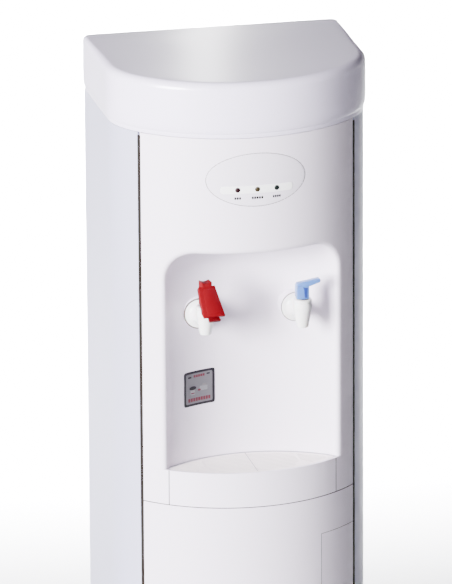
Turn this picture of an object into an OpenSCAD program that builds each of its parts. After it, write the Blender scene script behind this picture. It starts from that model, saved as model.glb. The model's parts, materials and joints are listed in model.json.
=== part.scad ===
// Floor-standing hot and cold water dispenser, fed from the mains.
// Millimetres, +Z up, front faces -Y, origin on the floor under the middle of the overall box.

/* [Cabinet] */
// Width across the flat sides
body_w = 320; // [312:1:326]
// Depth from the back edge to the middle of the curved front
body_d = 263; // [258:1:275]
// Overall height, floor to lid top
total_h = 980; // [965:1:1010]
// Radius of the curved front
front_r = 183; // [180:1:190]
// Angle of each side seam from the middle of the front
seam_angle = 47.3; // [46.5:0.1:48]
// Wall of the moulded covers
wall = 3; // [2.6:0.1:3.4]
// Width of the dark groove between side and front covers
seam_w = 3; // [2:0.1:4]
// Seam between neighbouring covers
cover_gap = 0.6; // [0.4:0.1:1]
// Height of the feet
foot_h = 14; // [10:1:20]
// Depth of the recess at the back for the condenser, as a share of the cabinet's depth
recess_share = 0.0837; // [0.078:0.0001:0.095]

/* [Lid] */
// Height of the lid skirt
lid_h = 64; // [55:1:75]
// Height of the tucked-in lip under the skirt
lip_h = 7; // [5:1:9]
// How far the lid stands out past the cabinet
lid_out = 3; // [2:0.5:5]
// Radius of the lid's top edge
lid_round = 10; // [8:1:12]

/* [Alcove and tray] */
// Distance of the opening's top below the lid
alcove_drop = 152; // [146:1:160]
// Height of the alcove opening
alcove_h = 284; // [275:1:295]
// Half width of the alcove opening
alcove_half = 111; // [108:1:114]
// Depth of the alcove behind the middle of the front, as a share of the cabinet's depth
alcove_share = 0.3042; // [0.29:0.0001:0.32]
// Radius of the top corners of the opening
alcove_corner = 39; // [30:1:45]
// Wall of the alcove
liner_t = 2.5; // [2:0.1:3]
// Height of the drip tray
tray_h = 45; // [42:1:50]
// Half width of the drip tray's front
tray_half = 105.5; // [102:0.5:107]
// Wall of the drip tray
tray_t = 2.2; // [2:0.1:2.6]
// Thickness of the drip grille
grille_t = 3; // [2.5:0.1:3.5]
// Distance between the rows of slots in the grille
slot_pitch = 5; // [4:0.5:7]

/* [Taps] */
// Distance of each tap from the centre line
tap_x = 61; // [60.5:0.1:62]
// Height of the tap inlets above the alcove floor
tap_rise = 192; // [188:1:196]
// Distance of the nozzles behind the middle of the front
tap_setback = 22; // [20:1:26]
// Radius of the tap body at its top
tap_r = 11.3; // [11:0.1:11.8]
// Radius of the nozzle tip
nozzle_r = 7.2; // [6.5:0.1:8]
// Radius of the threaded shank
shank_r = 9; // [8.5:0.1:9.5]
// Radius of the flange against the alcove wall
flange_r = 18; // [16.5:0.5:19]
// Radius of the valve stems
stem_r = 2.4; // [2.2:0.1:2.6]
// Running clearance of stems and lever pins
run_gap = 0.06; // [0.04:0.01:0.08]
// Width of the lever blocks
block_w = 14; // [13.5:0.1:14.5]
// Length of the red paddle down its slope
paddle_l = 39; // [36:1:40]
// Slope of the red paddle at rest
paddle_slope = 46.5; // [44:0.5:48]
// How far the hot lever is turned at rest
hot_turn = 7; // [5:0.5:9]
// Length of the blue lever from its axis
flag_l = 22; // [18:1:26]

/* [Indicator] */
// Distance of the oval panel's centre below the lid
oval_drop = 53; // [48:1:60]
// Half width of the oval panel
oval_a = 62.5; // [58:0.5:66]
// Half height of the oval panel
oval_b = 34; // [30:0.5:38]
// Distance between the lamps
lamp_pitch = 24.4; // [20:0.1:26]
// Radius of each lamp
lamp_r = 2.5; // [2:0.1:3]
// Width of the label in the alcove
label_w = 38; // [34:1:42]
// Height of the label in the alcove
label_h = 44; // [40:1:48]

/* [Service hatch] */
// Distance of the hatch's left edge from the centre line
hatch_x = 84; // [80:1:88]
// Distance of the hatch's upper edge below the tray
hatch_drop = 49; // [40:1:60]
// Height of the hatch, as a share of the lower front panel
hatch_share = 0.632; // [0.6:0.001:0.66]

/* [Water and cooling] */
// Radius of the cold tank
cold_r = 50; // [48:0.5:50]
// Height of the cold tank
cold_h = 250; // [240:1:255]
// Radius of the hot tank
hot_r = 44; // [42:0.5:45]
// Height of the hot tank
hot_h = 170; // [160:1:180]
// Radius of the evaporator tube
coil_tube_r = 3.2; // [3:0.1:3.4]
// Turns of the evaporator
coil_turns = 9; // [7:1:10]
// Radius of a filter cartridge
filter_r = 30; // [27:0.5:31]
// Height of a filter cartridge
filter_h = 250; // [230:1:260]
// Radius of the compressor
comp_r = 62; // [58:1:64]
// Height of the compressor
comp_h = 150; // [140:1:160]
// Rows of condenser tube
cond_rows = 11; // [9:2:11]
// Radius of the condenser tube
cond_r = 2.4; // [2.2:0.1:2.6]

/* [Hidden] */
$fn = 96;

eps = 0.01;
slack = 0.3; // clearance between bodies that move past each other
seat = 0.2; // clearance of fixed pieces that drop into place
sheet = 1.2; // thickness of the steel sheets
clear_out = 400; // past everything, for cuts

half_w = body_w / 2;
recess = recess_share * body_d;
alcove_d = alcove_share * body_d;
catch_out = 5; // the catch's tab past the paddle's lower edge
catch_travel = 3;
block_half = block_w / 2;
tab_half = 7.5;
tab_drop = 0.8; // the tab's face below the paddle's
lever_reach = (block_half + (paddle_l + catch_out) * cos(paddle_slope) - tab_drop * sin(paddle_slope))
    * cos(hot_turn) + tab_half * sin(hot_turn);
front_out = lever_reach - tap_setback; // how far the red lever stands out past the front
back_y = (body_d + lid_out + front_out) / 2 - lid_out;
front_y = back_y - body_d;
arc_y = front_y + front_r;
corner_r = (half_w - front_r * sin(seam_angle)) / (1 - sin(seam_angle));
corner_x = half_w - corner_r;
corner_y = arc_y - (front_r - corner_r) * cos(seam_angle);
groove_a = seam_w / 2 / front_r * 180 / PI; // half the groove, as an angle at the front's centre

panel_z = foot_h;
lid_z = total_h - lid_h; // lower edge of the skirt
panel_top = lid_z - lip_h - slack;
alcove_z = lid_z - alcove_drop - alcove_h; // height of the alcove's floor above the ground
split_z = alcove_z - tray_h;
upper_z = split_z + cover_gap / 2;
alcove_top = alcove_z + alcove_h;
tongue_t = 2.5; // inner edge of the side panels that backs the seam
tongue_a = 4; // its reach behind the front panels, as an angle

// The alcove's back wall is an arc through the opening's edges and the deepest point.
edge_y = arc_y - sqrt(front_r * front_r - alcove_half * alcove_half);
deep_y = front_y + alcove_d;
sag = deep_y - edge_y;
niche_r = (alcove_half * alcove_half + sag * sag) / (2 * sag);
niche_y = deep_y - niche_r;
cove_r = 40; // round between the alcove's wall and ceiling

tap_y = front_y + tap_setback;
tap_z = alcove_z + tap_rise;
wall_y = niche_y + sqrt(niche_r * niche_r - pow(tap_x, 2)); // alcove wall behind each tap
boss_r = flange_r + 1.5;
boss_front = niche_y + sqrt(niche_r * niche_r - pow(tap_x + boss_r, 2)) - 0.6;
boss_back = wall_y + 11;
seat_z = tap_z - 8; // valve seat
chamber_z = tap_z + 12; // chamber top and lower face of the bonnet
bonnet_z = tap_z + 21; // upper face of the bonnet
ring_t = 1;
lever_z = bonnet_z + ring_t + 2 * run_gap + seat; // underside of the lever blocks
pin_z = lever_z + 9.7;
pin_r = 1.5;
stem_top = pin_z + 3.2;
chamber_r = 6.5;
barb_r = 3.9;
shank_tail = 10; // thread left behind the boss for the nut

recess_y = back_y - recess; // outer face of the back panel
ledge_w = 14;
inner_u = -wall - seat;
panel_back = recess_y - sheet; // inner face of the back panel
shelf_z = tap_z - 112;
shelf_top = shelf_z + sheet;
tank_y = panel_back - 2 - (cold_r + 2 * coil_tube_r + 8);
foam_gap = 1;
cold_cavity = cold_r + 2 * coil_tube_r + foam_gap + 1.2;
cold_foam = cold_cavity + 4.4;
hot_foam = hot_r + 11;
tank_z = shelf_top + 12;
cold_top = tank_z + cold_h;
hot_top = tank_z + hot_h;

oval_z = lid_z - lip_h - oval_drop;
window_z = oval_z - 12;
window_a = 45;
window_b = 4.5;
inset = 1.2; // depth of the oval recess
lens_y = front_y - 0.2; // lamp tips

base_top = panel_z + sheet;
cond_x = half_w - 42;
cond_z = 150;
cond_y = recess_y + 9.5;
cond_top = shelf_z - 10;
cond_pitch = (cond_top - cond_z) / (cond_rows - 1);
comp_x = -50;
comp_y = panel_back - comp_r - 14;
comp_z = base_top + 9;
filter_x = half_w - 70;
filter_y = [arc_y - sqrt(pow(front_r, 2) - pow(filter_x + filter_r, 2)) + filter_r + 16, tank_y - 8];
bracket_z = split_z - 40;
inlet_x = half_w - 50;
drain_x = [inlet_x - 60, inlet_x - 34];
inlet_z = 90;
power_x = 55 - half_w;
power_z = 110;
hatch_top = split_z - hatch_drop;
hatch_z = hatch_top - hatch_share * (split_z - panel_z);
hatch_mid = (-90 + asin(hatch_x / front_r) - 90 + seam_angle) / 2;

// The D-shaped outline, grown by u, with its back edge at y = back.
module d_area(u, back) {
    intersection() {
        translate([-half_w - u, -clear_out]) square([body_w + 2 * u, clear_out + back]);
        union() {
            for (side = [-1, 1]) translate([side * corner_x, corner_y]) circle(r = corner_r + u);
            translate([-half_w - u - 1, corner_y]) square([body_w + 2 * u + 2, back - corner_y + 1]);
            intersection() {
                translate([0, arc_y]) circle(r = front_r + u);
                sector(seam_angle);
            }
        }
    }
}

// The wedge of plan within angle a of the middle of the front.
module sector(a) {
    polygon([[0, arc_y], [-clear_out * tan(a), arc_y - clear_out], [clear_out * tan(a), arc_y - clear_out]]);
}

// The wedge of plan beyond angle a on the right.
module beyond(a) {
    polygon([[0, arc_y], [clear_out * tan(a), arc_y - clear_out], [clear_out, -clear_out],
        [clear_out, clear_out], [0, clear_out]]);
}

module skin(u0, u1) {
    difference() {
        d_area(u1, back_y + lid_out);
        d_area(u0, back_y + clear_out);
    }
}

module tall(z0, z1) {
    translate([0, 0, z0]) linear_extrude(z1 - z0) children();
}

module box(p0, p1) {
    translate(p0) cube(p1 - p0);
}

module rod(a, b, r) {
    d = b - a;
    length = norm(d);
    translate(a) rotate([0, acos(d[2] / length), atan2(d[1], d[0])]) cylinder(r = r, h = length);
}

// Turn that keeps a sphere's seam away from the two rods that meet in it.
function away(a, b) = let (n = cross(a, b), m = a / norm(a) + b / norm(b))
    norm([n[0], n[1]]) > abs(n[2]) ? atan2(n[1], n[0]) : atan2(-m[1], -m[0]);

// A tube along straight runs, with a round joint at each bend.
module run(points, r, joint_r) {
    for (i = [0 : len(points) - 2]) rod(points[i], points[i + 1], r);
    for (i = [1 : len(points) - 2]) translate(points[i])
        rotate([0, 0, away(points[i - 1] - points[i], points[i + 1] - points[i])]) sphere(r = joint_r);
}

// One unbroken helical tube as a mesh.
module helix(mean_r, tube_r, pitch, turns, rings, sides) {
    steps = turns * rings;
    points = [for (i = [0 : steps]) let (a = 360 * i / rings)
        for (j = [0 : sides - 1]) let (b = 360 * j / sides)
        [(mean_r + tube_r * cos(b)) * cos(a), (mean_r + tube_r * cos(b)) * sin(a),
            pitch * i / rings + tube_r * sin(b)]];
    walls = [for (i = [0 : steps - 1]) for (j = [0 : sides - 1]) for (half = [0, 1])
        let (p = i * sides + j, q = i * sides + (j + 1) % sides)
        half == 0 ? [p, p + sides, q] : [q, p + sides, q + sides]];
    last = steps * sides;
    start = [for (j = [1 : sides - 2]) [0, j, j + 1]];
    finish = [for (j = [1 : sides - 2]) [last, last + j + 1, last + j]];
    polyhedron(points = points, faces = concat(walls, start, finish));
}

// A skirt with a tucked lip below it and a rounded top edge, stepped up to the flat top.
module top_lid() color("white") {
    steps = 6;
    difference() {
        union() {
            tall(lid_z - lip_h, lid_z + 2) d_area(0.5, back_y + 0.5);
            tall(lid_z, total_h - lid_round) d_area(lid_out, back_y + lid_out);
            for (i = [1 : steps]) {
                u = lid_out - lid_round * (1 - cos(90 * i / steps));
                tall(total_h - lid_round - eps, total_h - lid_round * (1 - sin(90 * (i - 0.5) / steps)))
                    d_area(u + lid_round * (cos(90 * (i - 1) / steps) - cos(90 * i / steps)) / 2, back_y + u);
            }
            tall(total_h - lid_round, total_h) d_area(lid_out - lid_round, back_y + lid_out - lid_round);
        }
        tall(lid_z - lip_h - 1, lid_z + wall) d_area(-wall, back_y - wall);
        tall(lid_z, total_h - wall) d_area(-wall - 2, back_y - wall - 2);
    }
}

module side_panel() {
    difference() {
        union() {
            tall(panel_z, panel_top) intersection() {
                skin(-wall, 0);
                translate([0, -clear_out]) square([clear_out, clear_out + back_y]);
                beyond(seam_angle + groove_a);
            }
            tall(panel_z + 34, panel_top) intersection() {
                skin(-wall - tongue_t, -wall - seat);
                beyond(seam_angle - tongue_a);
                translate([0, -clear_out]) square([clear_out, clear_out + corner_y - 34]);
            }
            tall(panel_z + 34, panel_top) intersection() {
                skin(-wall - tongue_t, -wall + 1);
                beyond(seam_angle + 2 * groove_a);
                translate([0, -clear_out]) square([clear_out, clear_out + corner_y - 34]);
            }
            // ledge that the back panel is screwed to, and the turned-in back edge
            box([half_w - ledge_w, panel_back - 2, panel_z], [half_w - 1, panel_back, panel_top]);
            box([half_w - ledge_w, back_y - 2, panel_z], [half_w - 1, back_y, panel_top]);
        }
        for (z = screw_heights()) translate([half_w - ledge_w / 2, back_y, z]) screw_hole();
    }
}

module side_panel_left() color("white") mirror([1, 0, 0]) side_panel();
module side_panel_right() color("white") side_panel();

screw_r = 1.6;
screw_x = half_w - ledge_w / 2;
function screw_heights() = [for (i = [0 : 3]) panel_z + 50 + i * (panel_top - panel_z - 100) / 3];
module screw_hole() {
    translate([0, -recess + 1, 0]) rotate([90, 0, 0]) cylinder(r = screw_r + run_gap, h = 12);
}

module panel_screws() color("silver") for (side = [-1, 1]) for (z = screw_heights())
    translate([side * screw_x, recess_y, z]) rotate([90, 0, 0]) {
        translate([0, 0, -2.2]) cylinder(r = 4, h = 2.2 - 0.02);
        translate([0, 0, -1]) cylinder(r = screw_r, h = 10);
    }

pipe_holes = [[cond_x - 23, cond_top], [53 - cond_x, cond_z]];
module back_panel() color("lightgray") difference() {
    union() {
        box([-half_w + wall + seat, panel_back, base_top], [half_w - wall - seat, recess_y, panel_top]);
        // stiffening flange along the top edge
        box([-half_w + ledge_w + 1, panel_back - 12, panel_top - sheet],
            [half_w - ledge_w - 1, panel_back + 0.5, panel_top]);
    }
    for (side = [-1, 1]) for (z = screw_heights()) translate([side * screw_x, back_y, z]) screw_hole();
    // vents between the condenser's rows
    vent_half = cond_x - 28;
    for (i = [0 : cond_rows - 4]) translate([-vent_half, panel_back - 1, cond_z + cond_pitch * (i + 0.9)])
        cube([2 * vent_half, sheet + 2, 6]);
    for (p = pipe_holes) translate([p[0], recess_y + 1, p[1]]) rotate([90, 0, 0]) cylinder(r = 5, h = 4);
    translate([inlet_x, recess_y + 1, inlet_z]) rotate([90, 0, 0]) cylinder(r = 7.2, h = 4);
    for (x = drain_x) translate([x, recess_y + 1, inlet_z]) rotate([90, 0, 0]) cylinder(r = 7.2, h = 4);
    box([power_x - 24, panel_back - 1, power_z - 40], [power_x + 24, recess_y + 1, power_z + 40]);
}

module base_pan() color("gray") difference() {
    union() {
        tall(panel_z, base_top) d_area(inner_u, panel_back - 2 - seat);
        tall(panel_z, panel_z + 30) intersection() {
            skin(inner_u - sheet, inner_u);
            translate([-clear_out, -clear_out]) square([2 * clear_out, clear_out + panel_back - 2 - seat]);
        }
        tall(panel_z, base_top) translate([-half_w + ledge_w + seat, 0])
            square([body_w - 2 * (ledge_w + seat), back_y - 2.4]);
    }
    tall(panel_z - 1, base_top + 1) for (p = mount_points()) translate(p) circle(r = 5);
}

foot_r = 17;
module rubber_feet() color("dimgray") {
    back = [half_w - 24, back_y - 42];
    front = [half_w - 76, front_y + 62];
    for (side = [-1, 1]) for (p = [back, front]) translate([side * p[0], p[1], 0]) difference() {
        cylinder(r1 = foot_r - 2, r2 = foot_r, h = foot_h);
        translate([0, 0, -1]) cylinder(r = 6, h = 5);
    }
}

// The opening's shape seen from the front, grown by g.
module arch(g, z0) {
    w = alcove_half + g;
    r = alcove_corner + g;
    top = alcove_top + g;
    translate([0, clear_out, 0]) rotate([90, 0, 0]) linear_extrude(2 * clear_out) {
        translate([-w, z0]) square([2 * w, top - r - z0]);
        translate([-w + r, z0]) square([2 * w - 2 * r, top - z0]);
        for (side = [-1, 1]) translate([side * (w - r), top - r]) circle(r = r);
    }
}

// The round plan of the alcove, grown by g, with a coved ceiling.
module cove(g, z0) {
    translate([0, niche_y, 0]) {
        translate([0, 0, z0]) cylinder(r = niche_r + g, h = alcove_top - cove_r - z0);
        translate([0, 0, z0]) cylinder(r = niche_r - cove_r, h = alcove_top + g - z0);
        translate([0, 0, alcove_top - cove_r]) rotate_extrude() translate([niche_r - cove_r, 0])
            intersection() {
                circle(r = cove_r + g);
                translate([-1, -1]) square(cove_r + g + 1);
            }
    }
}

module tray_room(g, z0, z1) {
    intersection() {
        box([-tray_half - cover_gap - g, -clear_out, z0], [tray_half + cover_gap + g, clear_out, z1]);
        translate([0, niche_y, z0 - 1]) cylinder(r = niche_r + g, h = z1 - z0 + 2);
    }
}

module tap_boss(x) {
    translate([x, boss_back, tap_z]) rotate([90, 0, 0]) cylinder(r = boss_r, h = boss_back - boss_front);
}

module lamp_holes(r) {
    for (i = [-1 : 1]) translate([i * lamp_pitch, front_y + 20, window_z]) rotate([90, 0, 0])
        cylinder(r = r, h = 40);
}

module upper_front_panel() color("white") difference() {
    union() {
        difference() {
            union() {
                tall(upper_z, panel_top) intersection() {
                    skin(-wall, 0);
                    sector(seam_angle - groove_a);
                }
                intersection() {
                    tall(upper_z, panel_top) d_area(-wall / 2, back_y);
                    union() {
                        intersection() {
                            arch(liner_t, alcove_z - liner_t);
                            cove(liner_t, alcove_z - liner_t);
                        }
                        tray_room(liner_t, upper_z, alcove_z + 1);
                    }
                }
            }
            intersection() {
                arch(0, alcove_z);
                cove(0, alcove_z - 1);
            }
            tray_room(0, upper_z - 1, alcove_z + 1);
        }
        for (side = [-1, 1]) tap_boss(side * tap_x);
    }
    for (side = [-1, 1]) translate([side * tap_x, boss_back + 1, tap_z]) rotate([90, 0, 0])
        cylinder(r = shank_r + seat, h = boss_back - boss_front + 2);
    difference() {
        oval_prism(oval_a, oval_b);
        tall(0, total_h) d_area(-inset, back_y);
    }
    lamp_holes(lamp_r + seat);
}

module oval_prism(a, b) {
    translate([0, front_y + 30, oval_z]) rotate([90, 0, 0]) linear_extrude(60)
        polygon([for (i = [0 : 47]) [a * cos(7.5 * i), b * sin(7.5 * i)]]);
}

module indicator_panel() color("whitesmoke") difference() {
    intersection() {
        oval_prism(oval_a - seat, oval_b - seat);
        tall(oval_z - oval_b, oval_z + oval_b) skin(-inset + 0.05, 0.1);
    }
    box([-window_a, front_y - 5, window_z - window_b], [window_a, front_y + 20, window_z + window_b]);
}

module indicator_window() color("ghostwhite") difference() {
    tall(window_z - window_b + 0.1, window_z + window_b - 0.1) intersection() {
        skin(-inset + 0.05, 0.3);
        translate([-window_a + 0.1, front_y - 5]) square([2 * window_a - seat, 20]);
    }
    lamp_holes(lamp_r + seat);
}

board_y = front_y + 12;
module indicator_lamps() color("darkred") for (i = [-1 : 1]) {
    lamp_y = arc_y - sqrt(pow(front_r, 2) - pow(i * lamp_pitch, 2)) - 0.8;
    translate([i * lamp_pitch, board_y - 0.02, window_z]) rotate([90, 0, 0])
        cylinder(r = lamp_r, h = board_y - lamp_y - lamp_r / 2);
    translate([i * lamp_pitch, lamp_y + lamp_r, window_z]) sphere(r = lamp_r - 0.01);
}

module control_board() color("green") {
    box([-55, board_y, window_z - 22], [55, board_y + 1.6, window_z + 34]);
    for (p = [[-44, -16], [44, -16], [-44, 28], [44, 28]]) {
        reach = board_y - (arc_y - sqrt(pow(front_r - wall, 2) - pow(44 + 2.5, 2)));
        translate([p[0], board_y + 0.5, window_z + p[1]]) rotate([90, 0, 0])
            cylinder(r = 2.5, h = reach + 0.5 - seat / 2);
    }
    box([-20, board_y + 1.5, window_z], [0, board_y + 14, window_z + 22]);
    box([14, board_y + 1.5, window_z - 10], [34, board_y + 10, window_z + 14]);
}

module label_plate() color("gray") intersection() {
    translate([0, niche_y, tap_z - 78 - label_h]) difference() {
        cylinder(r = niche_r - 0.05, h = label_h);
        translate([0, 0, -1]) cylinder(r = niche_r - 0.45, h = label_h + 2);
    }
    box([-tap_x - 18, niche_y, 0], [-tap_x - 18 + label_w, clear_out, total_h]);
}

module hatch_cut(g) {
    box([hatch_x + g, -clear_out, hatch_z + g], [clear_out, corner_y, hatch_top - g]);
}

module hatch_studs(r, depth) {
    reach = front_r - 1;
    for (z = [hatch_z + 5, hatch_top - 5]) translate([0, arc_y, z]) rotate([0, 90, hatch_mid])
        translate([0, 0, reach - depth]) cylinder(r = r, h = depth);
}

module lower_front_panel() color("white") difference() {
    union() {
        difference() {
            tall(panel_z, split_z - cover_gap / 2) intersection() {
                skin(-wall, 0);
                sector(seam_angle - groove_a);
            }
            hatch_cut(0);
        }
        // frame behind the hatch that it presses into
        tall(hatch_z - 8, hatch_top + 8) intersection() {
            skin(-wall - 2.5, -wall + 0.5);
            sector(seam_angle - tongue_a - 1);
            translate([hatch_x - 8, -clear_out]) square([clear_out, clear_out]);
        }
    }
    box([hatch_x + 7, -clear_out, hatch_z + 10], [clear_out, corner_y, hatch_top - 10]);
    tall(hatch_z, hatch_top) intersection() {
        skin(-wall - 0.05, 1);
        translate([hatch_x, -clear_out]) square([clear_out, clear_out]);
    }
    hatch_studs(2.5 + seat / 2, 12);
}

module service_hatch() color("white") {
    tall(hatch_z + slack, hatch_top - slack) intersection() {
        skin(-wall, 0);
        sector(seam_angle - groove_a);
        translate([hatch_x + slack, -clear_out]) square([clear_out, clear_out]);
    }
    hatch_studs(2.5, 8);
}

module seam_trims() color([0.34, 0.29, 0.27]) for (side = [0, 1]) mirror([side, 0, 0])
    tall(panel_z + 34, panel_top) intersection() {
        skin(-wall - seat, -0.8);
        beyond(seam_angle - groove_a);
        sector(seam_angle + groove_a);
    }

module tray_shelf() color("gainsboro") tall(split_z - 2.8, split_z) intersection() {
    d_area(-wall - tongue_t - seat, back_y);
    translate([-clear_out, -clear_out]) square([2 * clear_out, clear_out + deep_y + 16]);
}

// Plan of the tray: the curved front, two short sides and the alcove's arc behind.
module tray_area(u, side, back) {
    intersection() {
        d_area(u, back_y);
        translate([-side, -clear_out]) square([2 * side, 2 * clear_out]);
        translate([0, niche_y]) circle(r = back);
    }
}

tray_back = niche_r - 0.8;
tray_top = alcove_z - seat;
rib_x = [for (i = [-1 : 1]) i * (tray_half - 45.5)];
module drip_tray() color("white") {
    difference() {
        tall(split_z + slack, tray_top) tray_area(0, tray_half, tray_back);
        tall(split_z + slack + tray_t, alcove_z + 1) tray_area(-wall, tray_half - tray_t, tray_back - tray_t);
    }
    // ribs that carry the grille
    for (x = rib_x) intersection() {
        box([x - 1, -clear_out, split_z + 1], [x + 1, clear_out, tray_top - grille_t - 0.3]);
        tall(split_z + 1, tray_top) tray_area(-wall + 0.5, tray_half - 1, tray_back - 1);
    }
}

module drip_grille() color("whitesmoke") {
    rows = floor((deep_y - front_y - 14) / slot_pitch);
    inner = tray_half - tray_t;
    behind = tray_back - tray_t;
    slot_w = 2.2;
    difference() {
        tall(tray_top - grille_t, tray_top) tray_area(-wall - slack, inner - slack, behind - slack);
        intersection() {
            tall(tray_top - grille_t - 1, tray_top + 1) tray_area(-wall - 5, inner - 6, behind - 5);
            difference() {
                for (i = [0 : rows]) translate([0, front_y + 9 + i * slot_pitch, 0])
                    box([-clear_out, 0, 0], [clear_out, slot_w, total_h]);
                for (x = rib_x) box([x - 1.5, -clear_out, 0], [x + 1.5, clear_out, total_h]);
                for (side = [-1, 1]) translate([side * tap_x, tap_y, 0]) cylinder(r = 9, h = total_h);
            }
        }
    }
}

module tap_body() {
    difference() {
        union() {
            translate([0, 0, tap_z - 15]) cylinder(r1 = nozzle_r, r2 = tap_r, h = 23);
            translate([0, 0, tap_z + 8]) cylinder(r = tap_r, h = 9);
            translate([0, 0, tap_z]) rotate([-90, 0, 0])
                cylinder(r = shank_r, h = boss_back + shank_tail - tap_y);
            // cone that spreads into the flange
            translate([0, 0, tap_z]) rotate([-90, 0, 0])
                cylinder(r1 = shank_r - 1, r2 = shank_r + 4, h = boss_front - tap_y - 1);
            translate([0, boss_front - tap_y - 3.05, tap_z]) rotate([-90, 0, 0])
                cylinder(r = flange_r, h = 3);
            translate([0, boss_back + shank_tail - 1 - tap_y, tap_z]) rotate([-90, 0, 0])
                cylinder(r = barb_r, h = 8);
        }
        translate([0, 0, seat_z]) cylinder(r = chamber_r, h = 40);
        translate([0, 0, tap_z - 20]) cylinder(r = 4, h = 30);
        translate([0, 0, chamber_z]) cylinder(r = 9.6, h = 10);
        translate([0, 0, tap_z]) rotate([-90, 0, 0]) cylinder(r = 2.6, h = 120);
    }
}

module bonnet() {
    difference() {
        union() {
            translate([0, 0, tap_z + 17.05]) cylinder(r = tap_r, h = bonnet_z - tap_z - 17.05);
            translate([0, 0, chamber_z + 0.1]) cylinder(r = 9.5, h = 8);
        }
        translate([0, 0, chamber_z - 1]) cylinder(r = stem_r + run_gap, h = 20);
    }
}

module slip_ring() translate([0, 0, bonnet_z + run_gap]) difference() {
    cylinder(r = 8.5, h = ring_t);
    translate([0, 0, -1]) cylinder(r = stem_r + run_gap, h = ring_t + 2);
}

module stem() {
    difference() {
        union() {
            translate([0, 0, seat_z + 2]) cylinder(r = stem_r, h = stem_top - seat_z - 2);
            translate([0, 0, seat_z + 4.2]) cylinder(r = 5.6, h = 2);
        }
        translate([0, 20, pin_z]) rotate([90, 0, 0]) cylinder(r = pin_r + run_gap, h = 40);
    }
}

module seal() translate([0, 0, seat_z + 0.1]) difference() {
    cylinder(r = 5.8, h = 4);
    translate([0, 0, 1.8]) cylinder(r = stem_r + 0.05, h = 4);
}

module spring() {
    wire = 0.5;
    low = seat_z + 6.4 + wire;
    translate([0, 0, low]) helix(4.2, wire, (chamber_z - low - wire - 0.1) / 5, 5, 8, 6);
}

// Block that straddles the stem, hollow for it, with a cross hole for the pin.
module lever_block(top) {
    difference() {
        box([-block_half, -block_half, lever_z], [block_half, block_half, top]);
        box([-block_half + 1.2, -stem_r - 0.4, lever_z - 1],
            [block_half - 1.2, stem_r + 0.4, stem_top + 1.2]);
    }
}

module lever_pin() translate([0, block_half - 0.2, pin_z]) rotate([90, 0, 0])
    cylinder(r = pin_r, h = block_w - 0.4);

module pin_bore() translate([0, 20, pin_z]) rotate([90, 0, 0]) cylinder(r = pin_r + run_gap / 2, h = 40);

// In the paddle's frame x runs down the slope, y across it and z out of its face.
module on_paddle() {
    translate([0, -block_half, pin_z + 13.4]) rotate([0, 0, -90]) rotate([0, paddle_slope, 0]) children();
}

module paddle_plan(start, end, half0, half1) {
    polygon([[start, -half0], [end, -half1], [end, half1], [start, half0]]);
}

module hot_lever_shape() {
    difference() {
        union() {
            rotate([0, 0, 90]) lever_block(pin_z + 23);
            difference() {
                on_paddle() translate([0, 0, -7.5]) linear_extrude(7.5) paddle_plan(-3, paddle_l, 11, 14);
                box([-20, -block_half + 1, pin_z - 30], [20, 20, pin_z + 60]);
                on_paddle() translate([0, 0, -9]) linear_extrude(6) paddle_plan(4, paddle_l + 1, 9.3, 12.3);
            }
        }
        rotate([0, 0, 90]) pin_bore();
    }
}

module hot_catch_shape() on_paddle() {
    translate([12, -tab_half, -5.3]) cube([paddle_l + catch_out - 12, 2 * tab_half, 2]);
    lip = catch_travel + 0.4; // the raised lip stays clear of the paddle when it is pushed up
    translate([paddle_l + lip, -tab_half, -5.3]) cube([catch_out - lip, 2 * tab_half, 5.3 - tab_drop]);
}

module cold_lever_shape() {
    difference() {
        union() {
            lever_block(pin_z + 7);
            translate([0, 6, 0]) rotate([90, 0, 0]) linear_extrude(12)
                polygon([[-block_half, pin_z + 6], [-block_half, pin_z + 11.3], [flag_l - 0.5, pin_z + 14.3],
                    [flag_l, pin_z + 10], [block_half, pin_z + 6.5]]);
        }
        pin_bore();
    }
}

module at_hot() translate([-tap_x, tap_y, 0]) children();
module at_cold() translate([tap_x, tap_y, 0]) children();
module turned() at_hot() rotate([0, 0, hot_turn]) children();

module hot_tap_body() color("white") at_hot() tap_body();
module cold_tap_body() color("white") at_cold() tap_body();
module hot_bonnet() color("white") at_hot() bonnet();
module cold_bonnet() color("white") at_cold() bonnet();
module hot_slip_ring() color("silver") at_hot() slip_ring();
module cold_slip_ring() color("silver") at_cold() slip_ring();
module hot_stem() color("silver") turned() rotate([0, 0, 90]) stem();
module cold_stem() color("silver") at_cold() stem();
module hot_seal() color("gray") at_hot() seal();
module cold_seal() color("gray") at_cold() seal();
module hot_spring() color("silver") at_hot() spring();
module cold_spring() color("silver") at_cold() spring();
module hot_lever() color([0.8, 0.06, 0.1]) turned() hot_lever_shape();
module hot_lever_pin() color("silver") turned() rotate([0, 0, 90]) lever_pin();
module hot_safety_catch() color([0.7, 0.05, 0.09]) turned() hot_catch_shape();
module cold_lever() color([0.6, 0.76, 0.93]) at_cold() cold_lever_shape();
module cold_lever_pin() color("silver") at_cold() lever_pin();

nut_t = 6;
module tap_nuts() color("silver") for (side = [-1, 1]) translate([side * tap_x, boss_back + seat / 2, tap_z])
    rotate([-90, 0, 0]) difference() {
        cylinder(r = 14, h = nut_t, $fn = 6);
        translate([0, 0, -1]) cylinder(r = shank_r + 0.05, h = nut_t + 2);
    }

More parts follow.
